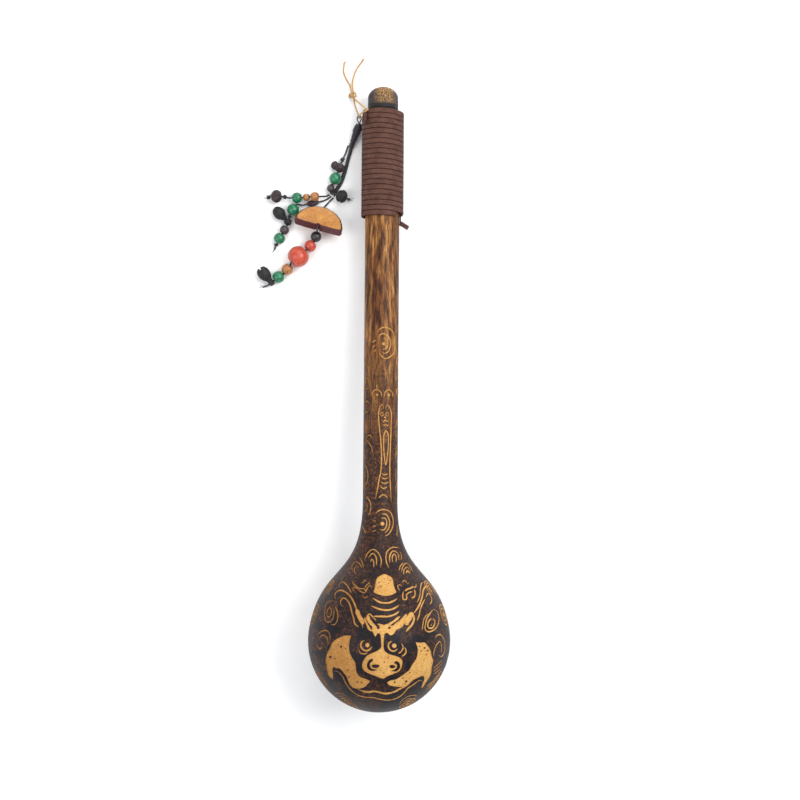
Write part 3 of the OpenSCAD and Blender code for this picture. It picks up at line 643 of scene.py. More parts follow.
# The flaming eyebrows join in a plate above the nose.
cut_area([(-4.5, 12.5), (-1, 12), (1.5, 13.7), (1.5, 13.7), (4, 13.2), (7, 13.5), (12, 13.8), (18.5, 17.5),
          (18, 13.5), (16.8, 12), (13, 10.5), (11.5, 8), (9, 6.5), (6.5, 8.3), (5, 8), (4, 5), (4, 5),
          (2, 5), (2, 5), (1, 8), (-0.5, 8), (-2, 5.5), (-2.8, 6.5), (-4, 9)])
cut_area([(-2, 12.6), (0, 12.9), (1.3, 11.7), (0, 11), (-1.5, 11.3)], cut=False)
cut_area([(7, 12.3), (9, 12.6), (8.6, 11.2), (7.3, 11.2)], cut=False)
for width, line in (
        (2.6, [(-7.8, 21), (-7.2, 18), (-5.5, 15.5), (-3, 13), (-1, 10.5)]),
        (1, [(-7.8, 20), (-7.5, 21.5), (-6, 21.5), (-4, 19.5), (-1.5, 17)]),
        (1.6, [(-10, 19.5), (-9.2, 16.5), (-7.8, 13.5), (-6, 10.5), (-4, 9.5)]),
        (1.4, [(-0.5, 14.6), (1.5, 14), (4, 13.5)]),
        (1.8, [(3, 13), (6, 13.6), (10.5, 16), (15.5, 20)]),
        (2.4, [(11, 13), (15, 15.5), (18.5, 18.5), (20.5, 21.5)]),
        (4.2, [(25, 22.5), (22.5, 19), (20.3, 15.5), (19.8, 13.8)]),
        (1.6, [(26, 20.5), (25.5, 16.5), (24, 13.5), (22, 11.5), (20, 9)]),
        # Horns
        (0.9, [(-29.5, 39.5), (-29.5, 42), (-27, 44), (-24.5, 42.5), (-22, 39.5), (-20, 36)]),
        (1.2, [(-31.5, 31.5), (-32.5, 33.5), (-31.5, 36.5), (-28, 38), (-24, 36.5), (-20, 33), (-17.5, 28.5),
               (-16, 24.5), (-14.5, 20), (-12.5, 16.5), (-11, 11.5)]),
        (3.2, [(-16, 25), (-14.3, 20.5), (-12.2, 17), (-10.5, 14.5)]),
        (1.1, [(-25.5, 26.5), (-27, 27), (-28, 29.5), (-27, 32), (-25, 32.5), (-23, 31), (-20.5, 27),
               (-19.5, 23), (-18, 18.5), (-17, 14.5), (-14, 12)]),
        (0.9, [(33.5, 43.5), (32, 43.8), (31, 42), (30.5, 38), (30, 34), (28, 29.5)]),
        (1.2, [(39.5, 36), (38, 39), (35.3, 41), (33, 39), (32, 34), (30.5, 29.5), (28, 25), (25.5, 22)]),
        (1, [(34.5, 33), (36.5, 36), (38.5, 33.5), (39, 30), (37.5, 28)]),
        (1, [(34, 32), (32, 28.5), (30.5, 25), (29.5, 20.5), (28, 16.5)]),
        # Arches over the brow
        (0.9, [(-11, 60), (-8.5, 65.5), (-4.5, 68), (-0.5, 65), (1.5, 60), (1, 54.5)]),
        (0.9, [(-8.5, 61.5), (-5, 65), (-2.5, 62.5), (-2, 56)]),
        (0.9, [(-6.5, 58.5), (-5.5, 61), (-4.2, 59), (-4, 55)]),
        (0.9, [(14.5, 69.3), (9.5, 69.5), (5.5, 66), (5.3, 59), (7.5, 54)]),
        (0.9, [(7.8, 58), (7.8, 63.5), (10.2, 67), (14, 64.5), (14.5, 60)]),
        (0.9, [(10, 58.5), (9.7, 63), (11.1, 64.7), (12.5, 62.5), (12.4, 58.5)]),
        (0.8, [(15.3, 66.5), (16.5, 63.5), (16, 60)]),
        (0.7, [(-19.5, 51), (-20.5, 55.5), (-17.5, 58.8), (-14.5, 57), (-12.5, 54)]),
        (0.7, [(-17, 49.5), (-18.5, 52.5), (-17, 55.8), (-15.3, 54)]),
        (0.8, [(-15, 62), (-13, 59), (-11.5, 54.5)]),
        (0.8, [(14.8, 52.5), (15.5, 55.5), (18, 58.5)]),
        (0.8, [(16.5, 51.5), (17.8, 56), (20.5, 58), (23.5, 54.5), (25, 51.5)]),
        (0.8, [(18.3, 49.5), (18.3, 52.8), (20.7, 55), (23.5, 52)]),
        (1.3, [(20, 50.5), (21, 52.6), (23, 50)]),
        # Curled clouds beside the dome
        (0.8, [(-20, 46), (-19, 43), (-17, 41.5), (-14, 39.5), (-11.5, 39.5), (-9.5, 38.5), (-9.7, 36.7),
               (-11.3, 36.6), (-14, 38), (-16.5, 40), (-18.5, 40.3), (-19, 38.5), (-17, 36.5)]),
        (0.8, [(-10.2, 39.8), (-9, 42), (-6.5, 44)]),
        (0.8, [(-9.2, 37.8), (-8, 40.5), (-6.2, 42), (-5.2, 39.7)]),
        (0.7, [(-13, 43.5), (-11.5, 44), (-10.5, 45.5), (-9, 44.3)]),
        (0.7, [(-12, 35), (-11.3, 33.6), (-9.5, 33), (-8.3, 34.3)]),
        (0.8, [(15.5, 38), (14, 40.3), (14, 42), (15.5, 42.5), (17, 41)]),
        (0.8, [(17, 44), (18.5, 45.6), (20, 44.3), (21, 43), (22.3, 44)]),
        (1, [(18, 38), (17.5, 34), (18, 31.9), (19.5, 31.6), (20.6, 33), (20.2, 35), (22, 36.7), (25, 37.6)]),
        (1.3, [(19, 37.8), (21, 39.2), (23.5, 40), (25.5, 41.2)]),
        (0.9, [(25.3, 40), (27.3, 41), (27.2, 43)]),
        (1.1, [(26, 39), (26.7, 36), (25.7, 33.4), (23.8, 33)]),
        # Ovals, spirals and hatching at the sides of the bulb
        (0.8, [(-33, 30), (-36.5, 30), (-39, 27.5), (-39.8, 23), (-39.5, 17.5), (-38, 15), (-35.5, 15.3),
               (-33.2, 18), (-32.7, 22), (-34, 25.5)]),
        (0.8, [(-38, 20), (-37.7, 23.6), (-36, 25.5), (-34.7, 23), (-35, 20), (-37, 18.4), (-38, 20.4)]),
        (0.8, [(-32.3, 27), (-30.5, 24), (-29.7, 20.5), (-30.2, 16), (-32, 13.5), (-35, 13.2)]),
        (1.1, [(40, 24.5), (42.5, 23), (44.3, 18.5), (43.3, 12.5), (40.5, 9.7), (36.8, 8.5), (34.2, 10),
               (34.2, 14), (35.5, 18.5), (38, 22), (40, 24.3)]),
        (1.3, [(39.5, 18), (41, 16.5), (41, 13.5), (39, 11), (36.3, 11.5), (36, 14.5), (37.5, 17),
               (39, 17.8)]),
        (0.7, [(37.2, 13.7), (38.2, 12.6), (39.2, 14.5)]),
        (0.8, [(36, 21.5), (33.5, 18.5), (32.3, 14), (32, 10)]),
        (0.9, [(41.5, 3.5), (42.7, 5.5), (45.3, 6), (47.8, 3), (48.7, -1), (48.7, -6), (47.3, -9.5),
               (45.7, -10.3), (44.5, -9)]),
        (0.9, [(40, -9.5), (41, -4.5), (42.3, -1.5), (45, 1), (46.3, -3), (46, -7)]),
        (0.8, [(-45.5, 5), (-41, 8.5), (-37, 8.5), (-35.5, 5.5), (-35, 2)]),
        (0.8, [(-46, 0.5), (-45.3, -3), (-42.7, -4.7), (-41.5, -3.3), (-41.5, 0.5)]),
        (0.8, [(-44, 1), (-43, 3.5), (-40.5, 5.5), (-38, 4), (-36.7, 1), (-37, -2.5)]),
        (0.7, [(40.5, -18.5), (47, -13)]), (0.7, [(40.5, -21), (47, -15.5)]),
        (0.7, [(40.8, -23), (46, -19.5)]), (0.7, [(35.5, -32), (41, -28)]),
        (0.7, [(-48.3, -4), (-46, -6.5)]), (0.7, [(-48.7, -8), (-45, -13)]),
        (0.7, [(-48, -12.5), (-44.5, -16.5)]), (0.7, [(-45.5, -22), (-41, -25.5)]),
        (0.8, [(-33, -39), (-29.5, -37.3), (-25.5, -37.7), (-21.7, -41), (-20.5, -43.5)]),
        (0.7, [(-29.5, -40), (-26, -39.7), (-23.3, -42.5)]), (0.7, [(-21, -45), (-17.5, -46.3)]),
        (0.8, [(15.5, -45.3), (17.5, -41.7), (20.5, -39.5), (24.5, -38.3), (28, -38.7), (26, -41.5)]),
        (0.7, [(18, -43.7), (20.5, -41.7), (23.3, -40.7), (25.3, -41.7)])):
    cut_line(width, line)
print(len(marks), "marks on the face")

# %% [markdown]
# ## Marks along the neck and round the back
# Up the neck run a double-ringed oval, a long whiskered beast and a spiral. The sides and the back of the
# bulb are filled with the same arches, ovals and spirals as the front, so the design goes all the way
# round.

# %% Marks of the neck
for width, line in (
        (0.9, [(-3.5, 230), (-2, 233.5), (2, 236), (8, 234), (10.3, 226.5), (9.5, 216.5), (3.5, 212),
               (-0.5, 215), (-1.7, 218.5)]),
        (0.9, [(-1.5, 226.5), (-0.9, 230), (2.3, 231), (6, 228.5), (7, 223), (5.5, 217.5), (2.5, 216),
               (0.4, 217.6)]),
        (0.8, [(1.5, 227.5), (4.3, 226.7), (5.2, 223), (3.8, 219.7), (1.2, 219)]),
        (0.8, [(-7.5, 224.5), (-3.7, 226)]), (0.8, [(-7, 220.5), (-4, 222.5)]),
        (0.8, [(-5.7, 217), (-3.5, 219)]), (0.7, [(-12, 226.5), (-11.3, 210.5), (-10, 205), (-8, 207.5)]),
        (0.8, [(-9.5, 196), (-11.2, 198), (-12.2, 194), (-11.2, 189), (-9, 190.5)]),
        (0.8, [(-3, 192.5), (-3, 188.7)]),
        (0.8, [(-6.5, 182.5), (-6.5, 186), (-3, 188.4), (0.3, 186), (0.8, 182.5)]),
        (0.8, [(6.5, 191), (6.5, 188.7)]),
        (0.8, [(3, 182.5), (3.2, 186), (6.3, 188.4), (9, 186), (8.8, 182.5)]),
        (0.8, [(11.6, 199.5), (11.8, 196)]), (0.8, [(11.6, 190), (11.8, 186.5)]),
        # The whiskered beast: two long lines make its body
        (1, [(2, 173.5), (2, 177), (-0.3, 175.7), (-1.5, 170), (-0.7, 158.5), (0.5, 148), (0.8, 129),
             (-1, 119), (-2, 112.5), (-3.5, 105.5)]),
        (1, [(3.5, 173.5), (5, 177), (7.7, 173), (8, 158.5), (7.5, 142.5), (7.3, 126.5), (8, 112.5),
             (8.5, 103.5)]),
        (0.8, [(0.8, 165.7), (2.2, 164), (3.5, 165.4), (5, 164), (6.4, 165.9)]),
        (0.8, [(1.3, 162.4), (2.5, 160.9), (3.7, 162), (5, 160.8), (6.2, 162.4)]),
        (0.8, [(0.9, 125), (3.5, 123.8), (6, 125)]), (0.8, [(0.8, 122), (3.5, 120.8), (6, 122)]),
        (0.8, [(0.4, 118.7), (3.5, 117.3), (6.3, 118.7)]), (0.8, [(-0.3, 115.5), (2.7, 113.5), (5.4, 115)]),
        (0.9, [(-1, 106.5), (2.5, 109), (6, 106.5)]),
        (0.7, [(-5.5, 150.5), (-8.5, 154), (-10.8, 151.5), (-6.8, 145), (-5.5, 140)]),
        (0.7, [(-12.3, 149), (-11, 147)]),
        (0.8, [(-8.7, 177.5), (-10.6, 180), (-12.1, 178.5), (-12.3, 174.5), (-11, 171.5), (-9, 172.5)]),
        (0.7, [(-10.3, 177), (-11.3, 175.7), (-10.4, 174)]),
        (0.8, [(-12.6, 132), (-10.4, 129.3), (-9.2, 123.5), (-10.6, 117), (-12.6, 115)]),
        (0.7, [(-12.5, 127), (-11.6, 124), (-12.5, 119.5)]), (0.7, [(11.5, 155.5), (11.7, 152)]),
        (0.7, [(12, 147), (11.5, 138.5)]), (0.7, [(11.8, 129.5), (11.8, 119)]),
        # The ringed spiral at the foot of the neck, and the leaves beside it
        (0.9, [(1, 91.5), (4.3, 91), (5.3, 87.5), (4, 83.3), (2, 82.3), (-0.3, 83.5)]),
        (0.9, [(1, 94.3), (4.5, 94.3), (7.3, 89.5), (6.7, 83.7), (4, 80.3)]),
        (0.9, [(-4, 94.3), (-0.5, 97), (3, 97.8), (7.5, 96.3), (9.8, 91.5), (9.8, 85.5), (7, 79.7),
               (4, 77.8)]),
        (0.7, [(-5.5, 89.5), (-2.7, 89)]), (0.7, [(-5.5, 85.2), (-2.7, 85.5)]),
        (0.7, [(-6, 81), (-2.7, 82.2)]), (0.9, [(-11, 108.5), (-7.2, 103), (-7.2, 97), (-9, 93)]),
        (0.7, [(-10, 103.3), (-9.7, 98.5), (-11.3, 96)]), (0.8, [(-13.5, 86), (-10.5, 80)]),
        (0.8, [(13, 86), (13, 78)])):
    cut_line(width, line)
for dot in ((2, 223.2, 2.4), (-2.7, 184.5, 2), (6.2, 184.5, 2), (3.5, 167.3, 1.5), (2, 87.2, 3.2)):
    cut_dot(*dot)
for x in (1, 5):
    ring = [(x + 1.1 * math.cos(a), 169.6 + 1.4 * math.sin(a)) for a in np.linspace(0, math.tau, 11)[:-1]]
    cut_line(0.6, ring, closed=True)
cut_line(0.9, [(4.3, 157.3), (2.9, 155), (2.5, 149.5), (2.8, 141), (4.2, 131.5), (5.7, 141), (6.1, 149.5),
               (5.7, 155)], closed=True)

# %% Motifs for the sides and the back
def arches(lat, turn, size, count=3):
    """Arches one inside another, open towards the bulb's pole."""
    for i in range(count):
        w = size * (1 - i * 0.3)
        arch = [(-w, -size), (-w, 0), (-w * 0.6, w * 0.8), (0, w * 1.15), (w * 0.6, w * 0.8), (w, 0),
                (w, -size)]
        cut_line(1, arch, turn, lat)


def spiral(lat, turn, size, hand=1, turns=1.9):
    cut_line(1, [(hand * size * t / turns * math.cos(t * math.tau), size * t / turns * math.sin(t * math.tau))
                 for t in np.arange(0.35, turns, 0.125)], turn, lat)


def eye_ring(lat, turn, size):
    for share, width in ((1, 1.1), (0.62, 0.9)):
        ring = [(share * size * 0.75 * math.cos(a), share * size * math.sin(a))
                for a in np.linspace(0, math.tau, 15)[:-1]]
        cut_line(width, ring, turn, lat, closed=True)
    cut_dot(0, 0, size * 0.5, turn, lat)


def flame(lat, turn, size, hand=1):
    cut_area([(hand * size * x, size * s) for x, s in
              ((0, 1), (0, 1), (-0.35, 0.4), (-0.45, -0.1), (-0.2, -0.6), (0.3, -0.75), (0.3, -0.75),
               (0.1, -0.4), (0.25, 0), (0.1, 0.45))], turn, lat)
    cut_dot(-0.1 * hand * size, -0.25 * size, 0.12 * size, turn, lat, cut=False)


for side in (-1, 1):
    arches(48, side * 70, 7)
    arches(46, side * 118, 7)
    arches(50, side * 155, 6)
    eye_ring(22, side * 74, 8)
    spiral(25, side * 101, 8, side)
    flame(20, side * 130, 12, side)
    eye_ring(23, side * 157, 7)
    spiral(-4, side * 86, 7, -side)
    flame(-2, side * 110, 13, -side)
    eye_ring(-6, side * 138, 10)
    flame(-5, side * 164, 11, side)
    arches(-34, side * 72, 8)
    spiral(-30, side * 100, 8, side)
    arches(-33, side * 128, 9)
    flame(-34, side * 157, 11, -side)
    eye_ring(-58, side * 50, 7)
    arches(-60, side * 95, 6)
    spiral(-58, side * 140, 7, side)
    for s in (232, 208, 184, 160, 136, 112):
        cut_line(0.8, [(-4, s), (-2, s + 6), (2, s + 6), (4, s), (1.5, s - 5)], side * 80)
        cut_line(0.8, [(-3, s - 9), (0, s - 4), (3, s - 9)], side * 135)
        cut_line(0.8, [(-3, s - 6), (0, s - 1), (3, s - 6)], side * 135)
print(len(marks), "marks in all")

# %% [markdown]
# ## From the chart to the skin
# Every mark's edges go into one triangulation, together with a net of plain points. A triangle takes the mark
# that was drawn last over it, so that an island of skin can sit inside a cut area. Then the chart is rolled
# back up: each point goes to its place on the gourd, and points of cut triangles go a little way under it.

# %% Roll the skin
def plain_points():
    """Rows of points all over the chart, staggered, with both of its edges at the underside."""
    rows, heights = [], [ARC[-1]]
    while heights[-1] > 0.004:
        radius = float(np.interp(heights[-1], ARC, R))
        heights.append(heights[-1] - min(SPACING, max(0.25 * radius, 0.6 * MM)))
    for number, height in enumerate(heights):
        s, radius = (float(np.interp(height, ARC, column)) for column in (S, R))
        count = max(14, round(math.tau * radius / SPACING))
        shift = 0.5 * (number % 2)
        inner = [-math.pi + math.tau * (i + shift) / count for i in range(count)]
        row = [a for a in inner if abs(a) < math.pi - 0.2 * math.tau / count]
        rows.append([Vector(charted(s, a)) for a in (-math.pi, *row, math.pi)])
    return rows


rows = plain_points()
flat, edges = [], []
for row in rows:
    flat += row
starts = np.cumsum([0] + [len(row) for row in rows]).tolist()
# The chart's left and right sides, its two ends, and then every mark.
for a, b, c in zip(starts, starts[1:], starts[2:]):
    edges += [(a, b), (b - 1, c - 1)]
for a, b in ((starts[0], starts[1]), (starts[-2], starts[-1])):
    edges += [(i, i + 1) for i in range(a, b - 1)]
for outlines, _ in marks:
    for outline in outlines:
        first, last = len(flat), len(flat) + len(outline) - 1
        edges += [(i, i + 1) for i in range(first, last)] + [(last, first)]
        flat += outline
flat, _, triangles, _, _, _ = delaunay_2d_cdt(flat, edges, [], 0, 1e-6, True)

middles = np.array([[sum(flat[i].x for i in face), sum(flat[i].y for i in face)] for face in triangles]) / 3
by_height = np.argsort(middles[:, 1])
middle_heights = middles[by_height, 1]


def inside(outline):
    """The triangles whose middles lie inside an outline."""
    shape = np.array([tuple(p) for p in outline])
    low, high = np.searchsorted(middle_heights, (shape[:, 1].min(), shape[:, 1].max()))
    near = by_height[low:high]
    x, y = middles[near].T
    odd = np.zeros(len(near), bool)
    for (x1, y1), (x2, y2) in zip(shape, np.roll(shape, -1, axis=0)):
        if y1 != y2:
            odd ^= ((y1 > y) != (y2 > y)) & (x < (x2 - x1) * (y - y1) / (y2 - y1) + x1)
    return near[odd]


sunk = np.zeros(len(triangles), bool)
for outlines, cut in marks:
    for outline in outlines:
        sunk[inside(outline)] = cut
print(len(flat), "points,", len(triangles), "faces,", sunk.sum(), "of them cut")


# %% Sink the cuts
def skin_point(p, depth=0.0):
    s, radius, slope, lean = (float(np.interp(p.y, MERCATOR, column)) for column in (S, R, SLOPE, LEAN))
    return gourd_point(s + slope * depth, radius - lean * depth, p.x)


points = [skin_point(p) for p in flat]
cut_faces = [face for face, low in zip(triangles, sunk) if low]
lowered = {}
for i in sorted({i for face in cut_faces for i in face}):
    lowered[i] = len(points)
    points.append(skin_point(flat[i], CUT_DEPTH * (0.95 + 0.5 * noise.noise(points[i] * 400))))
open_edges = {edge for face in cut_faces for edge in zip(face, face[1:] + face[:1])}
walls = [(a, b, lowered[b], lowered[a]) for a, b in open_edges if (b, a) not in open_edges]
skin_faces = [tuple(face) for face, low in zip(triangles, sunk) if not low]
flesh_faces = [tuple(lowered[i] for i in face) for face in cut_faces] + walls

# The pole and the inside: a plain wall, WALL thick, joined to the skin at the open end of the neck.
bottom_row = range(starts[-2], starts[-1])
points.append(gourd_point(float(S[0]), 0, 0))
skin_faces += [(a, len(points) - 1, b) for a, b in zip(bottom_row, bottom_row[1:])]
inner_wall = gourd_outline(thinner=WALL)[::-12]
turns = [flat[i].x for i in range(starts[0], starts[1])]
first = len(points)
for s, radius in inner_wall.tolist():
    points += [gourd_point(s, radius, angle) for angle in turns]
wide = len(turns)
skin_faces += [(i, i + 1, first + i + 1, first + i) for i in range(wide - 1)]
for row in range(len(inner_wall) - 1):
    at = first + row * wide
    skin_faces += [(at + i, at + i + 1, at + wide + i + 1, at + wide + i) for i in range(wide - 1)]
at = first + (len(inner_wall) - 1) * wide
skin_faces.append(tuple(range(at, at + wide - 1)))
print(len(points), "points,", len(skin_faces) + len(flesh_faces), "faces")

# %% [markdown]
# ## Burnt skin and pale flesh
# The skin is honey brown where the flame only touched it, streaked along the neck, and turns almost black
# towards the bulb. Small glints of the old colour show through the burnt part. The cuts show the gourd's flesh:
# straw yellow, full of pits, with dark brown specks among them. On the left of the bulb the flesh is darkened
# with painted shade.

# %% Gourd finishes
def gourd_place(tree):
    """Position relative to the bulb's centre, with the distance along the axis by itself."""
    here = add(tree, "ShaderNodeTexCoord").outputs["Object"]
    local = add(tree, "ShaderNodeVectorMath", {0: here, 1: CENTRE}, operation="SUBTRACT").outputs[0]
    along = add(tree, "ShaderNodeVectorMath", {0: local, 1: AXIS}, operation="DOT_PRODUCT").outputs["Value"]
    return local, along


def burnt_skin():
    material, tree, shader = finish("burnt_skin", 0.5, 0.2, Coat_Weight=0.03, Coat_Roughness=0.3)
    place, along = gourd_place(tree)
    streaky = add(tree, "ShaderNodeMapping", {"Vector": place, "Scale": (1, 0.1, 1)}).outputs[0]
    blotch = noise_of(tree, place, 42, 4, 0.65)
    streak = noise_of(tree, streaky, 420, 5, 0.7)
    broad = noise_of(tree, streaky, 130, 3, 0.6, 0.5)
    speck = noise_of(tree, place, 520, 4, 0.75)

    honey = ramp(tree, streak, (0.36, (0.022, 0.008, 0.004)), (0.46, (0.13, 0.048, 0.013)),
                 (0.56, (0.3, 0.13, 0.032)), (0.7, (0.5, 0.27, 0.085)))
    honey = mix(tree, ramp(tree, broad, (0.4, 0), (0.62, 0.8)), honey, (0.25, 0.12, 0.06), "MULTIPLY")
    honey = mix(tree, ramp(tree, speck, (0.3, 0.85), (0.42, 0)), honey, (0.012, 0.008, 0.008))
    umber = ramp(tree, speck, (0.34, (0.006, 0.004, 0.003)), (0.5, (0.032, 0.012, 0.006)),
                 (0.62, (0.12, 0.042, 0.014)), (0.78, (0.3, 0.13, 0.045)))
    coal = ramp(tree, speck, (0.36, (0.0015, 0.0015, 0.003)), (0.48, (0.014, 0.006, 0.005)),
                (0.58, (0.055, 0.02, 0.012)), (0.74, (0.15, 0.065, 0.035)))
    sooty = noise_of(tree, place, 60, 3, 0.6, 0.8)
    coal = mix(tree, ramp(tree, sooty, (0.43, 0), (0.57, 0.9)), coal, (0.0025, 0.0025, 0.005))

    drift = calc(tree, "MULTIPLY_ADD", blotch, 0.16, along)
    drift = calc(tree, "MULTIPLY_ADD", streak, 0.05, drift)
    to_umber = add(tree, "ShaderNodeMapRange", {"Value": drift, "From Min": 0.335, "From Max": 0.25})
    to_coal = add(tree, "ShaderNodeMapRange", {"Value": drift, "From Min": 0.225, "From Max": 0.12})
    skin = mix(tree, to_umber.outputs[0], honey, umber)
    skin = mix(tree, to_coal.outputs[0], skin, coal)
    rim = add(tree, "ShaderNodeMapRange", {"Value": along, "From Min": 0.4035, "From Max": 0.4045}).outputs[0]
    colour(tree, shader, mix(tree, rim, skin, (0.01, 0.007, 0.006)))
    relief(tree, shader, calc(tree, "MULTIPLY_ADD", streak, 0.5, speck), 0.00025, 0.45)
    roughen(tree, shader, blotch, 0.42, 0.68)
    return material


def gourd_flesh():
    material, tree, shader = finish("gourd_flesh", 0.8, 0.2)
    place, _ = gourd_place(tree)
    fibre = noise_of(tree, place, 700, 4, 0.6)
    pits = noise_of(tree, place, 330, 3, 0.75)
    patch = noise_of(tree, place, 90, 3)
    pale = ramp(tree, fibre, (0.3, (0.42, 0.22, 0.06)), (0.5, (0.57, 0.32, 0.095)), (0.7, (0.64, 0.39, 0.14)))
    pale = mix(tree, ramp(tree, pits, (0.28, 0.9), (0.37, 0)), pale, (0.09, 0.03, 0.01))
    pale = mix(tree, ramp(tree, patch, (0.35, 0.4), (0.6, 0)), pale, (0.75, 0.6, 0.42), "MULTIPLY")
    # Painted shade: the flesh is darkened towards the left side of the bulb.
    across = add(tree, "ShaderNodeSeparateXYZ", {0: place}).outputs[0]
    left_painted_shade = add(tree, "ShaderNodeMapRange",
                 {"Value": across, "From Min": 0.006, "From Max": -0.018, "To Max": 0.62})
    pale = mix(tree, left_painted_shade.outputs[0], pale, (0.5, 0.35, 0.26), "MULTIPLY")
    colour(tree, shader, pale)
    relief(tree, shader, calc(tree, "MULTIPLY_ADD", fibre, 0.4, pits), 0.0004, 0.6)
    return material


gourd = mesh_object("carved_gourd", points, skin_faces + flesh_faces, [burnt_skin(), gourd_flesh()])
for polygon in gourd.data.polygons[len(skin_faces):]:
    polygon.material_index = 1
shell = bmesh.new()
shell.from_mesh(gourd.data)
bmesh.ops.remove_doubles(shell, verts=shell.verts, dist=1e-7)
shell.to_mesh(gourd.data)
shell.free()
gourd.data.set_sharp_from_angle(angle=math.radians(38))
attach(gourd, "gourd")
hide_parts("gourd_shell")
print("carved gourd:", len(gourd.data.polygons), "faces")

# %% [markdown]
# ## The plug
# A domed plug closes the neck. It is stained nearly black, with a patch of golden specks in the middle of the
# dome and a darker band where it meets the leather.

# %% End plug
def lathe(name, profile, materials, sides=48, place=None, rough=0.0, seed=0.0):
    """A solid of revolution about Z from (radius, z) pairs, with its own coordinates kept in an attribute."""
    points, faces = [], []
    for radius, z in profile:
        for i in range(sides):
            a = math.tau * i / sides
            points.append(Vector((radius * math.cos(a), radius * math.sin(a), z)))
    if rough:
        points = [p + p.normalized() * rough * noise.noise(p * 500 + Vector((seed, 0, 0))) for p in points]
    for row in range(len(profile) - 1):
        for i in range(sides):
            a, b = row * sides + i, row * sides + (i + 1) % sides
            faces.append((a, b, b + sides, a + sides))
    closed = profile[0] == profile[-1]
    if not closed:
        faces.append(tuple(reversed(range(sides))))
        faces.append(tuple(range(len(points) - sides, len(points))))
    made = mesh_object(name, points, faces, materials)
    keep_own_place(made)
    if place is not None:
        made.data.transform(place)
    tidy_mesh(made)
    return made


def keep_own_place(made):
    """Stores each point's position in the piece's own frame, so that its grain follows it."""
    own = made.data.attributes.new("own", "FLOAT_VECTOR", "POINT")
    own.data.foreach_set("vector", [c for v in made.data.vertices for c in v.co])


def tidy_mesh(made, angle=40):
    """Merges doubled points, turns faces outward and keeps edges sharper than the angle."""
    work = bmesh.new()
    work.from_mesh(made.data)
    bmesh.ops.remove_doubles(work, verts=work.verts, dist=1e-7)
    bmesh.ops.recalc_face_normals(work, faces=work.faces)
    work.to_mesh(made.data)
    work.free()
    made.data.set_sharp_from_angle(angle=math.radians(angle))


def settle(piece, body, node, slot):
    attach(piece, body)
    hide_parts(node)
    return piece


def plug_finish():
    material, tree, shader = finish("speckled_plug", 0.5, 0.25, Coat_Weight=0.04, Coat_Roughness=0.3)
    place = attribute(tree, "own").outputs["Vector"]
    speck = noise_of(tree, place, 1500, 3, 0.7)
    cloud = noise_of(tree, place, 260, 3)
    up = add(tree, "ShaderNodeSeparateXYZ", {0: place}).outputs[2]
    flat = add(tree, "ShaderNodeVectorMath", {0: place, 1: (1, 1, 0)}, operation="MULTIPLY").outputs[0]
    shift = add(tree, "ShaderNodeVectorMath", {0: flat, 1: (0.001, -0.0055, 0)},
                operation="SUBTRACT").outputs[0]
    away = add(tree, "ShaderNodeVectorMath", {0: shift}, operation="LENGTH").outputs["Value"]
    dark = ramp(tree, cloud, (0.35, (0.006, 0.005, 0.008)), (0.65, (0.045, 0.038, 0.045)))
    gold = ramp(tree, speck, (0.44, (0.015, 0.01, 0.008)), (0.52, (0.26, 0.12, 0.035)),
                (0.62, (0.6, 0.36, 0.13)))
    near = calc(tree, "MULTIPLY_ADD", cloud, 0.006, away)
    patch = add(tree, "ShaderNodeMapRange",
                {"Value": near, "From Min": 0.0125, "From Max": 0.0085}).outputs[0]
    stained = mix(tree, patch, dark, gold)
    band = add(tree, "ShaderNodeMapRange", {"Value": up, "From Min": 0.0045, "From Max": 0.0025}).outputs[0]
    colour(tree, shader, mix(tree, band, stained, (0.012, 0.01, 0.01)))
    relief(tree, shader, speck, 0.0004, 0.7)
    roughen(tree, shader, cloud, 0.4, 0.65)
    return material


PLUG_R, PLUG_STRAIGHT, DOME_H, SPIGOT_R, SPIGOT_L = 11.75 * MM, 9.5 * MM, 8.95 * MM, 8.6 * MM, 17.9 * MM
dome = [(PLUG_R * math.cos(a), PLUG_STRAIGHT + DOME_H * math.sin(a))
        for a in np.linspace(0, math.pi / 2 - 0.02, 20)]
plug_profile = [(SPIGOT_R - MM, -SPIGOT_L), (SPIGOT_R, MM - SPIGOT_L), (SPIGOT_R, 0.0001),
                (PLUG_R - 0.3 * MM, 0.0001), (PLUG_R, 0.4 * MM), (PLUG_R, 4 * MM), *dome]
plug = lathe("plug_dome", plug_profile, [plug_finish()], 64, ALONG_GOURD @ Matrix.Translation((0, 0, PLUG_S)))
settle(plug, "gourd", "end_plug", "speckled_plug")

# %% [markdown]
# ## Leather lace
# The lace is one flat strip wound down the grip in about twenty turns. A Geometry Nodes tree sweeps a strip's
# section along a line of points. The section keeps its flat side on the neck. The tree also stores how far
# along and across the strip each point lies, so that wear and grain can follow the strip. The turns climb a
# little at the left and right, where they pass over the two runs of lace that they hold down.

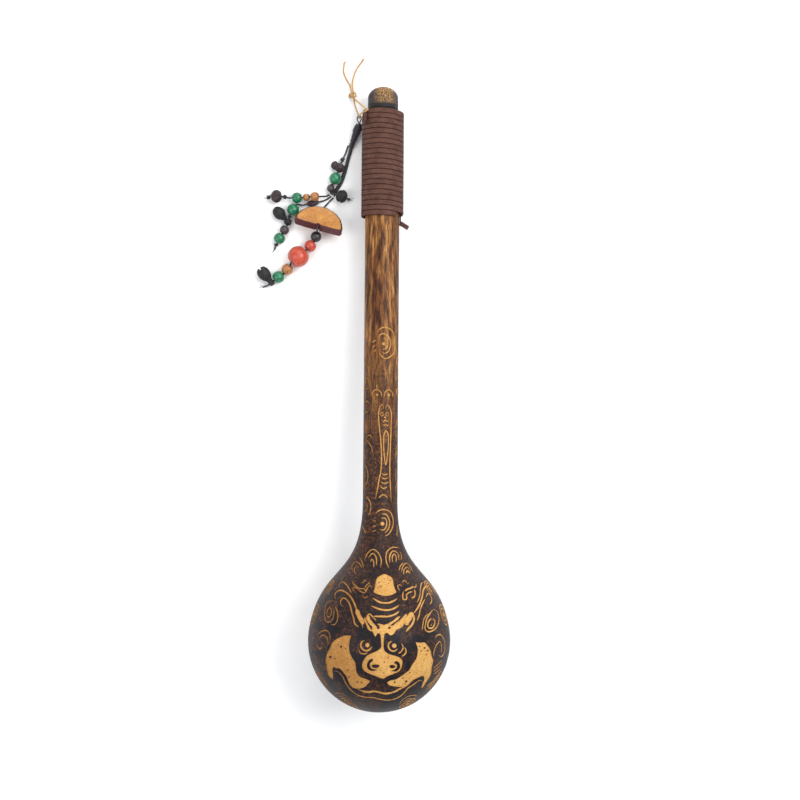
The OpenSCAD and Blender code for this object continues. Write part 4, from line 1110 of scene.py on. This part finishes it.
# %% Lace tree and finish
def lace_tree():
    tree, given, out = new_tree("Flat lace", [
        ("Width", "NodeSocketFloat", 0.0038), ("Thickness", "NodeSocketFloat", 0.0014),
        ("Edge radius", "NodeSocketFloat", 0.0004), ("Waver", "NodeSocketFloat", 0.0),
        ("Seed", "NodeSocketInt", 3), ("Material", "NodeSocketMaterial", None)])
    run = add(tree, "GeometryNodeMeshToCurve", {"Mesh": given.outputs["Route"]}).outputs[0]
    place = add(tree, "GeometryNodeInputPosition").outputs[0]
    uneven = add(tree, "ShaderNodeTexNoise", {"Vector": place, "W": given.outputs["Seed"], "Scale": 300.0,
                                              "Detail": 2.0}, noise_dimensions="4D").outputs["Color"]
    centred = add(tree, "ShaderNodeVectorMath", {0: uneven, 1: (0.5, 0.5, 0.5)},
                  operation="SUBTRACT").outputs[0]
    push = add(tree, "ShaderNodeVectorMath", {0: centred, "Scale": given.outputs["Waver"]},
               operation="SCALE").outputs[0]
    run = add(tree, "GeometryNodeSetPosition", {"Geometry": run, "Offset": push}).outputs[0]
    upright = add(tree, "GeometryNodeSetCurveNormal", {"Curve": run}, mode="Z_UP").outputs[0]
    length = add(tree, "GeometryNodeSplineParameter").outputs["Length"]
    marked = add(tree, "GeometryNodeStoreNamedAttribute", {
        "Geometry": upright, "Name": "along", "Value": length}, data_type="FLOAT", domain="POINT").outputs[0]
    section = add(tree, "GeometryNodeCurvePrimitiveQuadrilateral", {
        "Width": given.outputs["Thickness"], "Height": given.outputs["Width"]}).outputs[0]
    soft = add(tree, "GeometryNodeFilletCurve", {
        "Curve": section, "Radius": given.outputs["Edge radius"], "Count": 3}, mode="POLY").outputs[0]
    across = add(tree, "ShaderNodeSeparateXYZ",
                 {0: add(tree, "GeometryNodeInputPosition").outputs[0]}).outputs[1]
    marked_section = add(tree, "GeometryNodeStoreNamedAttribute", {
        "Geometry": soft, "Name": "across", "Value": across}, data_type="FLOAT", domain="POINT").outputs[0]
    strip = add(tree, "GeometryNodeCurveToMesh", {
        "Curve": marked, "Profile Curve": marked_section, "Fill Caps": True}).outputs[0]
    real = add(tree, "GeometryNodeRealizeInstances", {"Geometry": strip}).outputs[0]
    smooth = add(tree, "GeometryNodeSetShadeSmooth", {"Geometry": real}).outputs[0]
    coloured = add(tree, "GeometryNodeSetMaterial",
                   {"Geometry": smooth, "Material": given.outputs["Material"]})
    tree.links.new(coloured.outputs[0], out.inputs[0])
    return tree


def leather_finish():
    material, tree, shader = finish("brown_leather", 0.7, 0.2)
    place = object_place(tree)
    along, across = attribute(tree, "along").outputs["Fac"], attribute(tree, "across").outputs["Fac"]
    grain = noise_of(tree, place, 1500, 4, 0.65)
    patch = noise_of(tree, place, 160, 3, 0.6)
    lengthwise = add(tree, "ShaderNodeCombineXYZ",
                     {0: calc(tree, "MULTIPLY", along, 0.08), 1: across}).outputs[0]
    rub = noise_of(tree, lengthwise, 2200, 3, 0.6)
    hide = ramp(tree, patch, (0.3, (0.048, 0.019, 0.014)), (0.5, (0.08, 0.033, 0.023)),
                (0.72, (0.115, 0.052, 0.037)))
    hide = mix(tree, ramp(tree, rub, (0.4, 0), (0.75, 0.55)), hide, (0.19, 0.1, 0.072))
    # Painted shade: the lace is darkened towards both edges of each strip, in the grooves between the turns.
    edge = add(tree, "ShaderNodeMapRange", {"Value": calc(tree, "ABSOLUTE", across), "From Min": 0.0014,
                                            "From Max": 0.0019}).outputs[0]
    hide = mix(tree, calc(tree, "MULTIPLY", edge, 0.85), hide, (0.045, 0.01, 0.008))
    colour(tree, shader, mix(tree, ramp(tree, grain, (0.35, 0.45), (0.6, 0)), hide, (0.35, 0.25, 0.22),
                             "MULTIPLY"))
    relief(tree, shader, calc(tree, "MULTIPLY_ADD", rub, 0.6, grain), 0.00025, 0.55)
    roughen(tree, shader, patch, 0.62, 0.85)
    return material


LACE, LEATHER = lace_tree(), leather_finish()

# %% Wind the grip
GRIP_TOP = 407.9 * MM
LACE_PITCH, LACE_W, LACE_T, SNUG, UNDER_T, UNDER_W = (v * MM for v in (4, 3.85, 1.5, 0.05, 1.3, 4))
TURNS, STEPS = 20.5, 48               # turns of the lace, and steps in each
ROUND = math.cos(math.pi / 24)        # a 24-sided turn touches the neck only at the middles of its sides
INSIDE_R = (NECK_R + SNUG) / ROUND
CLIMB = (math.hypot(NECK_R + SNUG + UNDER_T, UNDER_W / 2) + SNUG) / ROUND - INSIDE_R


def lace_radius(s, angle):
    """Radius of the lace's middle, at an angle from the gourd's right side."""
    from_side = min(angle % 180, 180 - angle % 180)
    bare = np.interp(s - LACE_W / 2, (TAPER_START, PLUG_S), (NECK_R, RIM_R))
    return float((bare + SNUG) / ROUND + CLIMB * max(0, min(1, (45 - from_side) / 30)) + LACE_T / 2)


turns_run = []
for step in range(round(TURNS * STEPS) + 1):
    angle = 135 + step * 360 / STEPS
    s = GRIP_TOP - LACE_W / 2 - step * LACE_PITCH / STEPS
    a, radius = math.radians(angle), lace_radius(s, angle)
    turns_run.append(Vector((radius * math.cos(a), radius * math.sin(a), s)))
lace_shape = {"Width": LACE_W, "Thickness": LACE_T - 0.06 * MM, "Edge radius": 0.5 * MM, "Waver": 0.00016,
              "Seed": 3, "Material": LEATHER}
wound = run_along("lace_turns", LACE, turns_run, lace_shape, ALONG_GOURD)
settle(wound, "gourd", "handle_lace", "brown_leather")
print("lace:", round(run_length(turns_run) / MM), "mm in", TURNS, "turns")


# %% [markdown]
# ## The lace's loose ends
# Two runs of the lace lie under the turns, at the left and right of the grip, where the turns hold
# them down. They are short straps, as are the end that sticks out below the grip and the fold at its top.

# %% Straps
def strip(name, points, side, width, thickness, node, narrow=1.0):
    """A short flat strap along points, with its width along side; it may get narrower on its outer face."""
    run = smooth_route([ALONG_GOURD @ Vector(p) for p in points], 0.001)
    side = (ALONG_GOURD.to_3x3() @ Vector(side)).normalized()
    bevel = 0.22 * thickness
    corners = []
    for x, y in ((-1, -1), (1, -1), (1, 1), (-1, 1)):
        w = (width / 2) * (narrow if y > 0 else 1)
        corners += [(x * (w - bevel * (x == y)), y * (thickness / 2 - bevel * (x != y))),
                    (x * (w - bevel * (x != y)), y * (thickness / 2 - bevel * (x == y)))]
    made, faces, ring = [], [], len(corners)
    for i, here in enumerate(run):
        ahead = (run[min(i + 1, len(run) - 1)] - run[max(i - 1, 0)]).normalized()
        out = side.cross(ahead).normalized()
        made += [here + side * a + out * b for a, b in corners]
    for i in range(len(run) - 1):
        for k in range(ring):
            a, b = i * ring + k, i * ring + (k + 1) % ring
            faces.append((a, b, b + ring, a + ring))
    faces += [tuple(reversed(range(ring))), tuple(range(len(made) - ring, len(made)))]
    piece = mesh_object(name, made, faces, [LEATHER])
    piece.data.attributes.new("along", "FLOAT", "POINT").data.foreach_set(
        "value", [i // ring * 0.001 for i in range(len(made))])
    piece.data.attributes.new("across", "FLOAT", "POINT").data.foreach_set(
        "value", [corners[i % ring][0] * LACE_W / width for i in range(len(made))])
    tidy_mesh(piece, 50)
    return settle(piece, "gourd", node, "brown_leather")


under = (NECK_R + SNUG + UNDER_T / 2) / MM
strip("lace_tail_strap", in_mm((under, 0, 393.4), (under, 0, 340), (under, 0, 317.6)), (0, 1, 0),
      UNDER_W - 0.1 * MM, UNDER_T - 0.1 * MM, "lace_tail")
strip("lace_tail_end", in_mm((under - 0.2, 0, 318.9), (16.2, 0, 317.6), (20.1, 0, 315.1)), (0.49, 0, 0.87),
      3.3 * MM, 1.6 * MM, "lace_tail")
strip("lace_bight_strap", in_mm((-under, 0, 395.4), (-under, 0, 360), (-under, 0, 326)), (0, 1, 0),
      UNDER_W - 0.1 * MM, UNDER_T - 0.1 * MM, "lace_bight")
fold_turn = math.radians(217)
fold_r = (2 * INSIDE_R + CLIMB + 2 * LACE_T) / 2 / MM + LACE_T / 2 / MM + 0.85
fold_out = Vector((math.cos(fold_turn), math.sin(fold_turn), 0))
strip("lace_fold_strap", in_mm(*(fold_out * (fold_r + lift) + Vector((0, 0, s)) for s, lift in
                                 ((396.2, -0.25), (398, 0.05), (399.5, 0.1), (401, 0.05), (402.8, -0.25)))),
      (-fold_out.y, fold_out.x, 0), 4.2 * MM, 1.4 * MM, "lace_fold", 0.85)

# %% [markdown]
# ## Knots
# The hemp is tied in one lumpy knot, made of two trefoil loops. The small stopper knots on the waxed cords
# use the same curve. The long knot that binds the tassel is a winding of cord on a core.

# %% Tie the knots
def threaded(route, i):
    """The place in the middle of the route's stretch i, with Z along it."""
    a, b = Vector(route[i]), Vector(route[i + 1])
    run = b - a
    round_z = Matrix.Rotation(math.atan2(run.y, run.x), 4, "Z")
    round_y = Matrix.Rotation(math.acos(run.z / run.length), 4, "Y")
    return Matrix.Translation((a + b) / 2) @ (round_z @ round_y)


def trefoil(place, wide, half_l, phase=0.0):
    loop = []
    for t in np.linspace(0.1, math.tau - 0.05, 60):
        x, y = math.sin(t) + 2 * math.sin(2 * t), math.cos(t) - 2 * math.cos(2 * t)
        x, y = x * math.cos(phase) - y * math.sin(phase), x * math.sin(phase) + y * math.cos(phase)
        loop.append(place @ Vector((wide * x / 3, wide * y / 3, -half_l * math.sin(3 * t))))
    return loop


def coil(start, end, radii, pitch, steps=22):
    """A winding from start to end; radii are (share of the way, radius), and a turn has this many steps."""
    axis = (end - start).normalized()
    side = axis.orthogonal().normalized()
    up = axis.cross(side)
    length = (end - start).length
    count = round(length / pitch * steps)
    run = []
    for k in range(count + 1):
        share = k / count
        radius = float(np.interp(share, *zip(*radii))) * (1 + 0.05 * math.sin(k * 0.37))
        a = k / steps * math.tau
        run.append(start + axis * length * share + radius * (math.cos(a) * side + math.sin(a) * up))
    return run


def knots(name, loops, diameter, kind, body, node, slot):
    shape = {"hemp": (2, 0.3, 0.25, 0.0035, HEMP), "waxed": (3, 0.32, 0.2, 0.0048, WAXED)}[kind]
    plies, ply_r, offset, twist, material = shape
    made = run_along(name, STRAND, loops, {
        "Plies": plies, "Ply radius": ply_r * diameter, "Ply offset": offset * diameter,
        "Twist length": twist,
        "Sides": 8, "Material": material})
    return settle(made, body, node, slot)


hemp_spot = threaded(in_mm((-22.9, 231.9, 4), (-24.4, 237.6, 3.2)), 0)
beside = Matrix.Translation(Vector((-25.2, 234.6, 2.9)) * MM) @ Matrix.Rotation(0.9, 4, "X")
tied_hemp = knots("hemp_knot_tied",
                  [trefoil(hemp_spot, 2.1 * MM, 2.1 * MM), trefoil(beside, 1.7 * MM, 1.2 * MM, 1)],
                  HEMP_D, "hemp", "hemp_tie", "hemp_knot", "hemp")
knots("tassel_eye_loop", [smooth_route(eye_route)], EYE_D, "waxed", "tassel", "tassel_eye", "waxed_cord")

way = knot_bottom - knot_top
shape = ((0, 1.1), (0.08, 2.1), (0.2, 2.85), (0.4, 2.8), (0.55, 2.2), (0.75, 1.9), (0.92, 1.7), (1, 1.2))
knots("wrapped_knot_winding", [coil(knot_top + way * 0.02, knot_top + way * 0.98,
                                    [(at, radius * MM) for at, radius in shape], 1.3 * MM)],
      1.35 * MM, "waxed", "tassel", "wrapped_knot", "waxed_cord")
binding = in_mm((-24, 197.2, 3), (-25.3, 193.6, 2.3))
knots("wrapped_knot_binding", [coil(*binding, [(0, 1.5 * MM), (0.6, 1.4 * MM), (1, 1.2 * MM)], 1.2 * MM)],
      1.3 * MM, "waxed", "tassel", "wrapped_knot", "waxed_cord")
middle_rows = [(radius * MM, at * way.length) for at, radius in shape[1:-1]]
core = lathe("wrapped_knot_core", [(0.4 * MM, 0.3 * MM), *middle_rows, (0.4 * MM, way.length - 0.3 * MM)],
             [WAXED], 20, Matrix.Translation(knot_top) @ way.to_track_quat("Z", "Y").to_matrix().to_4x4())
settle(core, "tassel", "wrapped_knot", "waxed_cord")

tied = {"hemp": [tied_hemp]}
for strand_name, route, spots in (
        ("side", side_route, ((2, 1.9, 1.3), (13, 1.4, 0.8))),
        ("left", left_route, ((10, 1.8, 1.3), (14, 1.9, 1.5))),
        ("lower", lower_route, ((9, 1.8, 0.6), (17, 1.9, 0.9)))):
    loops = [trefoil(threaded(route, i), (wide - 0.5) * MM, max(0.25, half_l - 0.45) * MM, i)
             for i, wide, half_l in spots]
    tied[strand_name] = [knots(strand_name + "_knots_tied", loops, 1.1 * MM, "waxed", strand_name + "_strand",
                               strand_name + "_knots", "waxed_cord")]


# %% [markdown]
# ## Frayed ends
# The hemp ends are teased out into loose fibres, and short thread whiskers stand at the tips of the waxed
# cords. Each is a thin line that bends a little at random, from a fixed seed.

# %% Frays
def frays(name, route, body, material, count, length, thickness, spread, draw):
    chance = random.Random(draw)
    tip, ahead = route[-1], (route[-1] - route[-6]).normalized()
    level = Vector((-ahead.y, ahead.x, 0)).normalized()
    hairs = []
    for _ in range(count):
        aside = level * chance.uniform(-spread, spread) + Vector((0, 0, chance.uniform(0, spread * 0.5)))
        long = length * chance.uniform(0.55, 1)
        bend = level * chance.uniform(-0.3, 0.3)
        start = tip - ahead * chance.uniform(0.2, 2) * MM + Vector((0, 0, chance.uniform(-0.15, 0.3) * MM))
        shares = np.linspace(0, 1, 7).tolist()
        hairs.append([start + (ahead * t + aside * t + bend * t * t) * long for t in shares])
    for hair in hairs:
        for p in hair:
            p.z = max(p.z, 0.2 * MM)
    made = run_along(name, STRAND, hairs, {"Plies": 1, "Ply radius": thickness, "Ply offset": 0.0, "Sides": 4,
                                           "Material": material})
    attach(made, body)


frays("hemp_fray_left", cords["hemp_string_left"]["route"], "hemp_tie", HEMP, 16, 4.5 * MM, 0.1 * MM, 0.3, 1)
frays("hemp_fray_right", cords["hemp_string_right"]["route"], "hemp_tie", HEMP, 16, 5 * MM, 0.1 * MM, 0.3, 2)
for number, strand_name in enumerate(("side", "left", "lower", "pendant")):
    frays(strand_name + "_whiskers", cords[strand_name + "_cord_laid"]["route"], strand_name + "_strand",
          WAXED, 3, 4.5 * MM, 0.11 * MM, 0.6, 10 + number)

# %% [markdown]
# ## Beads and seeds
# A bead is a ball with flat ends and a drilled hole whose lips are rounded by wear. Its wood grain runs along
# the hole, so the finish reads the piece's own coordinates. The seeds are less regular: they are dented by
# noise and have a dry, dusty skin. Some have two lobes.

# %% Bead and seed finishes
def painted_wood(name, deep, body, light, roughness, stretch=0.25):
    material, tree, shader = finish(name, roughness, 0.5, Coat_Weight=0.3, Coat_Roughness=0.2)
    own = attribute(tree, "own").outputs["Vector"]
    lengthwise = add(tree, "ShaderNodeMapping", {"Vector": own, "Scale": (1, 1, stretch)}).outputs[0]
    grain = noise_of(tree, lengthwise, 1300, 4, 0.65, 0.4)
    patch = noise_of(tree, object_place(tree), 170, 2)
    paint = ramp(tree, grain, (0.3, deep), (0.52, body), (0.78, light))
    paint = mix(tree, ramp(tree, patch, (0.35, 0.45), (0.62, 0)), paint, deep)
    colour(tree, shader, paint)
    relief(tree, shader, grain, 0.00015, 0.5)
    roughen(tree, shader, patch, roughness - 0.08, roughness + 0.15)
    return material


def seed_skin(name, deep, body, dust, dusty):
    material, tree, shader = finish(name, 0.65, 0.35)
    own = attribute(tree, "own").outputs["Vector"]
    wrinkle = noise_of(tree, own, 1100, 5, 0.7, 0.6)
    patch = noise_of(tree, own, 330, 3, 0.6)
    skin = ramp(tree, wrinkle, (0.35, deep), (0.65, body))
    skin = mix(tree, ramp(tree, patch, (0.42, 0), (0.7, dusty)), skin, dust)
    colour(tree, shader, skin)
    relief(tree, shader, wrinkle, 0.0004, 0.7)
    roughen(tree, shader, patch, 0.45, 0.8)
    return material


GREEN = painted_wood("emerald_paint", (0.002, 0.055, 0.024), (0.004, 0.17, 0.07), (0.02, 0.36, 0.16), 0.36)
RED = painted_wood("red_paint", (0.3, 0.014, 0.01), (0.5, 0.055, 0.025), (0.66, 0.19, 0.055), 0.42)
TAN = painted_wood("tan_wood", (0.15, 0.045, 0.012), (0.42, 0.17, 0.045), (0.62, 0.32, 0.11), 0.45)
BROWN = painted_wood("dark_bead", (0.014, 0.008, 0.008), (0.045, 0.028, 0.028), (0.1, 0.07, 0.068), 0.5)
BLACK = painted_wood("black_bead", (0.004, 0.004, 0.005), (0.012, 0.012, 0.015), (0.05, 0.05, 0.058), 0.38)
PLUM = seed_skin("plum_seed", (0.01, 0.005, 0.006), (0.045, 0.026, 0.027), (0.1, 0.075, 0.08), 0.6)
COAL = seed_skin("coal_seed", (0.003, 0.003, 0.0035), (0.013, 0.012, 0.013), (0.06, 0.058, 0.062), 0.45)

# %% Bead and seed shapes
BORE_R = 1.2 * MM


def bead_profile(size, flat=0.84):
    radius, half_l, lip = size / 2 * MM, size * flat / 2 * MM, 0.45 * MM
    low = math.asin(flat)
    arc = [(radius * math.cos(a), radius * math.sin(a)) for a in np.linspace(-low, low, 22)]
    start = (BORE_R, lip - half_l)
    return [start, (BORE_R + 0.3 * lip, 0.3 * lip - half_l), (BORE_R + lip, -half_l), *arc,
            (BORE_R + lip, half_l), (BORE_R + 0.3 * lip, half_l - 0.3 * lip), (BORE_R, half_l - lip), start]


def seed_profile(radius, half_l, drilled=True):
    radius, half_l = radius * MM, half_l * MM
    hole = BORE_R if drilled else 0.25 * MM
    edge = math.asin(min(0.95, hole / radius))
    arc = [(radius * math.sin(a), -half_l * math.cos(a)) for a in np.linspace(edge, math.pi - edge, 26)]
    return [*arc, arc[0]] if drilled else arc


def bead(name, route, i, size, material, body, slot, flat=0.84):
    made = lathe(name + "_turned", bead_profile(size, flat), [material], 36, threaded(route, i), 0.05 * MM, i)
    return settle(made, body, name, slot)


def seed(name, route, i, lobes, material, body, slot, crease=0.0):
    """A seed of one or more lobes, each a profile and a placing in the seed's own frame, with a crease as
    deep as asked."""
    made = [lathe(name + "_lobe", profile, [material], 40, place, 0.3 * MM, i) for profile, place in lobes]
    work = bmesh.new()
    for lobe in made:
        for vertex in lobe.data.vertices:
            x, y, z = vertex.co / MM
            aside = max(0, -y / max(0.01, math.hypot(x, y))) ** 2
            vertex.co *= 1 - crease * aside * math.exp(-(z / 0.7) ** 2)
        work.from_mesh(lobe.data)
    joined = bpy.data.meshes.new(name + "_grown")
    work.to_mesh(joined)
    work.free()
    joined.materials.append(material)
    for lobe in made:
        bpy.data.objects.remove(lobe)
    joined.transform(threaded(route, i))
    joined.set_sharp_from_angle(angle=math.radians(50))
    return settle(show(name + "_grown", joined), body, name, slot)


def at(x, y, z, turn_x=0.0):
    return Matrix.Translation(Vector((x, y, z)) * MM) @ Matrix.Rotation(math.radians(turn_x), 4, "X")


tied["side"] += [
    seed("side_lobed_seed", side_route, 4, [(seed_profile(4, 3.6), None),
                                            (seed_profile(2.9, 3.4, False), at(0, -4.2, -0.6))],
         PLUM, "side_strand", "dark_seed"),
    bead("side_green_bead", side_route, 6, 9.6, GREEN, "side_strand", "green_wood"),
    bead("side_dark_bead", side_route, 8, 6, BROWN, "side_strand", "dark_seed"),
    seed("side_black_seed", side_route, 11, [(seed_profile(5.1, 4.5), None)], COAL, "side_strand",
         "black_seed", 0.22)]
tied["left"] += [
    bead("left_tan_bead", left_route, 3, 7.4, TAN, "left_strand", "tan_wood"),
    bead("left_small_tan_bead", left_route, 5, 5.8, TAN, "left_strand", "tan_wood", 0.78),
    bead("left_green_bead", left_route, 7, 8.6, GREEN, "left_strand", "green_wood"),
    seed("left_round_seed", left_route, 12, [(seed_profile(5, 4.3), None)], PLUM, "left_strand", "dark_seed")]
tied["lower"] += [
    seed("lower_oval_seed", lower_route, 3, [(seed_profile(2.5, 5.1), None)], PLUM, "lower_strand",
         "dark_seed"),
    bead("lower_green_bead", lower_route, 7, 9.6, GREEN, "lower_strand", "green_wood"),
    seed("lower_twin_seed", lower_route, 11, [(seed_profile(3.1, 2.9), None),
                                              (seed_profile(4.6, 5.6, False), at(-0.8, -8.4, -4.6, -61)),
                                              (seed_profile(2.2, 3, False), at(0.2, -4.4, -2.4, 61))],
         COAL, "lower_strand", "black_seed"),
    bead("lower_brown_bead", lower_route, 13, 7.4, BROWN, "lower_strand", "dark_seed", 0.8),
    bead("lower_end_bead", lower_route, 15, 9, GREEN, "lower_strand", "green_wood")]
tied["pendant"] = [
    bead("pendant_black_bead", pendant_route, 6, 8.6, BLACK, "pendant_strand", "black_seed", 0.78),
    bead("small_red_bead", pendant_route, 8, 9.4, RED, "pendant_strand", "red_wood", 0.78),
    bead("big_red_bead", pendant_route, 10, 16.6, RED, "pendant_strand", "red_wood"),
    bead("orange_bead", pendant_route, 12, 9.2, TAN, "pendant_strand", "tan_wood"),
    bead("last_green_bead", pendant_route, 14, 9.5, GREEN, "pendant_strand", "green_wood")]

# %% [markdown]
# ## Pendant and pod
# The pendant is half a slice of a nut. Its face is waxy orange with mottled veins, its bark is a thin dark
# rim round the arc, and its straight cut is stained maroon, with a dark notch where the cord comes out. The
# last piece is a woody pod on a short neck, its tip split open.

# %% Pendant
def nut_finishes():
    face, tree, shader = finish("nut_face", 0.42, 0.45, Coat_Weight=0.2, Coat_Roughness=0.3)
    own = attribute(tree, "own").outputs["Vector"]
    vein = noise_of(tree, own, 420, 5, 0.68, 1.2)
    cloud = noise_of(tree, own, 130, 3)
    flesh = ramp(tree, vein, (0.32, (0.2, 0.065, 0.015)), (0.46, (0.46, 0.19, 0.036)),
                 (0.7, (0.58, 0.29, 0.07)))
    colour(tree, shader, mix(tree, ramp(tree, cloud, (0.4, 0.5), (0.6, 0)), flesh, (0.34, 0.12, 0.025)))
    relief(tree, shader, vein, 0.0002, 0.5)

    bark, tree, shader = finish("nut_bark", 0.75, 0.3)
    crust = noise_of(tree, attribute(tree, "own").outputs["Vector"], 900, 5, 0.7)
    colour(tree, shader, ramp(tree, crust, (0.35, (0.012, 0.01, 0.009)), (0.6, (0.05, 0.035, 0.025)),
                              (0.75, (0.16, 0.11, 0.06))))
    relief(tree, shader, crust, 0.0005, 0.8)

    cut, tree, shader = finish("nut_cut", 0.5, 0.4)
    own = attribute(tree, "own").outputs["Vector"]
    saw = add(tree, "ShaderNodeMapping", {"Vector": own, "Scale": (0.2, 1, 1)}).outputs[0]
    streak = noise_of(tree, saw, 1500, 4, 0.65)
    colour(tree, shader, ramp(tree, streak, (0.32, (0.028, 0.005, 0.008)), (0.55, (0.085, 0.014, 0.018)),
                              (0.75, (0.2, 0.06, 0.04))))
    relief(tree, shader, streak, 0.0002, 0.6)
    return [face, bark, cut]


PENDANT_R, PENDANT_T = 19.4 * MM, 7.4 * MM
TILT, TURN = math.radians(35), math.radians(-15)
arc = []
for a in np.linspace(0.09, math.pi - 0.13, 72).tolist():
    bumpy = PENDANT_R * (0.99 + 0.012 * noise.noise(Vector((a * 4, 1, 0))))
    arc.append((bumpy * math.cos(a), max(0.15 * MM, bumpy * math.sin(a))))
# The straight side, with a notch in the middle for the cord.
straight = ((-18.4, 1), (-17.2, 0.2), (-9, 0), (-1.9, 0), (-1.3, 0.9), (0, 1.3), (1.3, 0.9), (1.9, 0), (9, 0),
            (17.8, 0.1), (18.8, 0.8))
outline = arc + [(x * MM, y * MM) for x, y in straight]
levels = ((0.95, -0.5), (0.985, -0.44), (1, -0.34), (1, 0.36), (0.985, 0.43), (0.94, 0.475), (0.925, 0.468))
ring, middle = len(outline), Vector((0, 8.5 * MM))
slab_points = []
for size, z in levels:
    for x, y in outline:
        shrunk = middle.y + (y - middle.y) * size if y > 0 or size < 0.96 else y * size
        slab_points.append(Vector((x * size, shrunk, PENDANT_T * z)))
slab_faces, kinds = [], []
for level in range(len(levels) - 1):
    for k in range(ring):
        a, b = level * ring + k, level * ring + (k + 1) % ring
        slab_faces.append((a, b, b + ring, a + ring))
        kinds.append(2 if k >= len(arc) - 1 else 1)
slab_faces += [tuple(reversed(range(ring))), tuple(range(len(slab_points) - ring, len(slab_points)))]
kinds += [0, 0]
rise = 19.5 * MM * math.sin(TILT) + 3.75 * MM * math.cos(TILT)
pendant = mesh_object("half_disc_cut", slab_points, slab_faces, nut_finishes())
pendant.data.polygons.foreach_set("material_index", kinds)
keep_own_place(pendant)
pendant.data.transform(Matrix.Translation((-50.5 * MM, 129.2 * MM, rise)) @ Matrix.Rotation(TURN, 4, "Z")
                       @ Matrix.Rotation(-TILT, 4, "X"))
tidy_mesh(pendant, 28)
tied["pendant"].append(settle(pendant, "pendant_strand", "half_disc_pendant", "nut_slice"))

# %% Pod
pod_shape = [(0.5, -2.5), (1.8, -2.2), (2.5, -0.6), (2.3, 1.4), (2.5, 3), (4, 5), (4.9, 7.6), (5, 10),
             (4.3, 12.4), (2.8, 14.2), (0.4, 14.9)]
smooth_pod = [(p.x, p.y) for p in smooth_route([(r * MM, z * MM, 0) for r, z in pod_shape], 0.5 * MM)]
pod = lathe("seed_pod_split", smooth_pod, [COAL], 56, None, 0.25 * MM, 4)
for vertex in pod.data.vertices:
    x, y, z = vertex.co / MM
    ridge = 1 + 0.035 * math.cos(6 * math.atan2(y, x))
    slot_depth = max(0, min(1, (z - 8) / 5)) * math.exp(-(y / 0.55) ** 2)
    vertex.co = Vector((x * ridge, y * ridge, z - 3.2 * slot_depth)) * MM
pod.data.transform(threaded(pendant_route, 16) @ Matrix.Translation((-0.5 * MM, 0, 0))
                   @ Matrix.Rotation(math.radians(90), 4, "X"))
tied["pendant"].append(settle(pod, "pendant_strand", "split_seed_pod", "black_seed"))

# %% [markdown]
# Each cord now has its length and its thickness, and the pieces threaded on it are looked up.
# Last, the sizes of the imported model and of the finished one are written side by side.

# %% Cords, sizes, finish
for name, cord in cords.items():
    strand_name = name.split("_")[0]
    threaded_on = [] if name == "hemp_string_right" else tied.get(strand_name, [])
    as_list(threaded_on)

sizes = {"cad": [list(corner) for corner in cad_box], "visual": [list(corner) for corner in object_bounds()]}
for name, box in sizes.items():
    print(name, [[round(c / MM, 1) for c in corner] for corner in box])
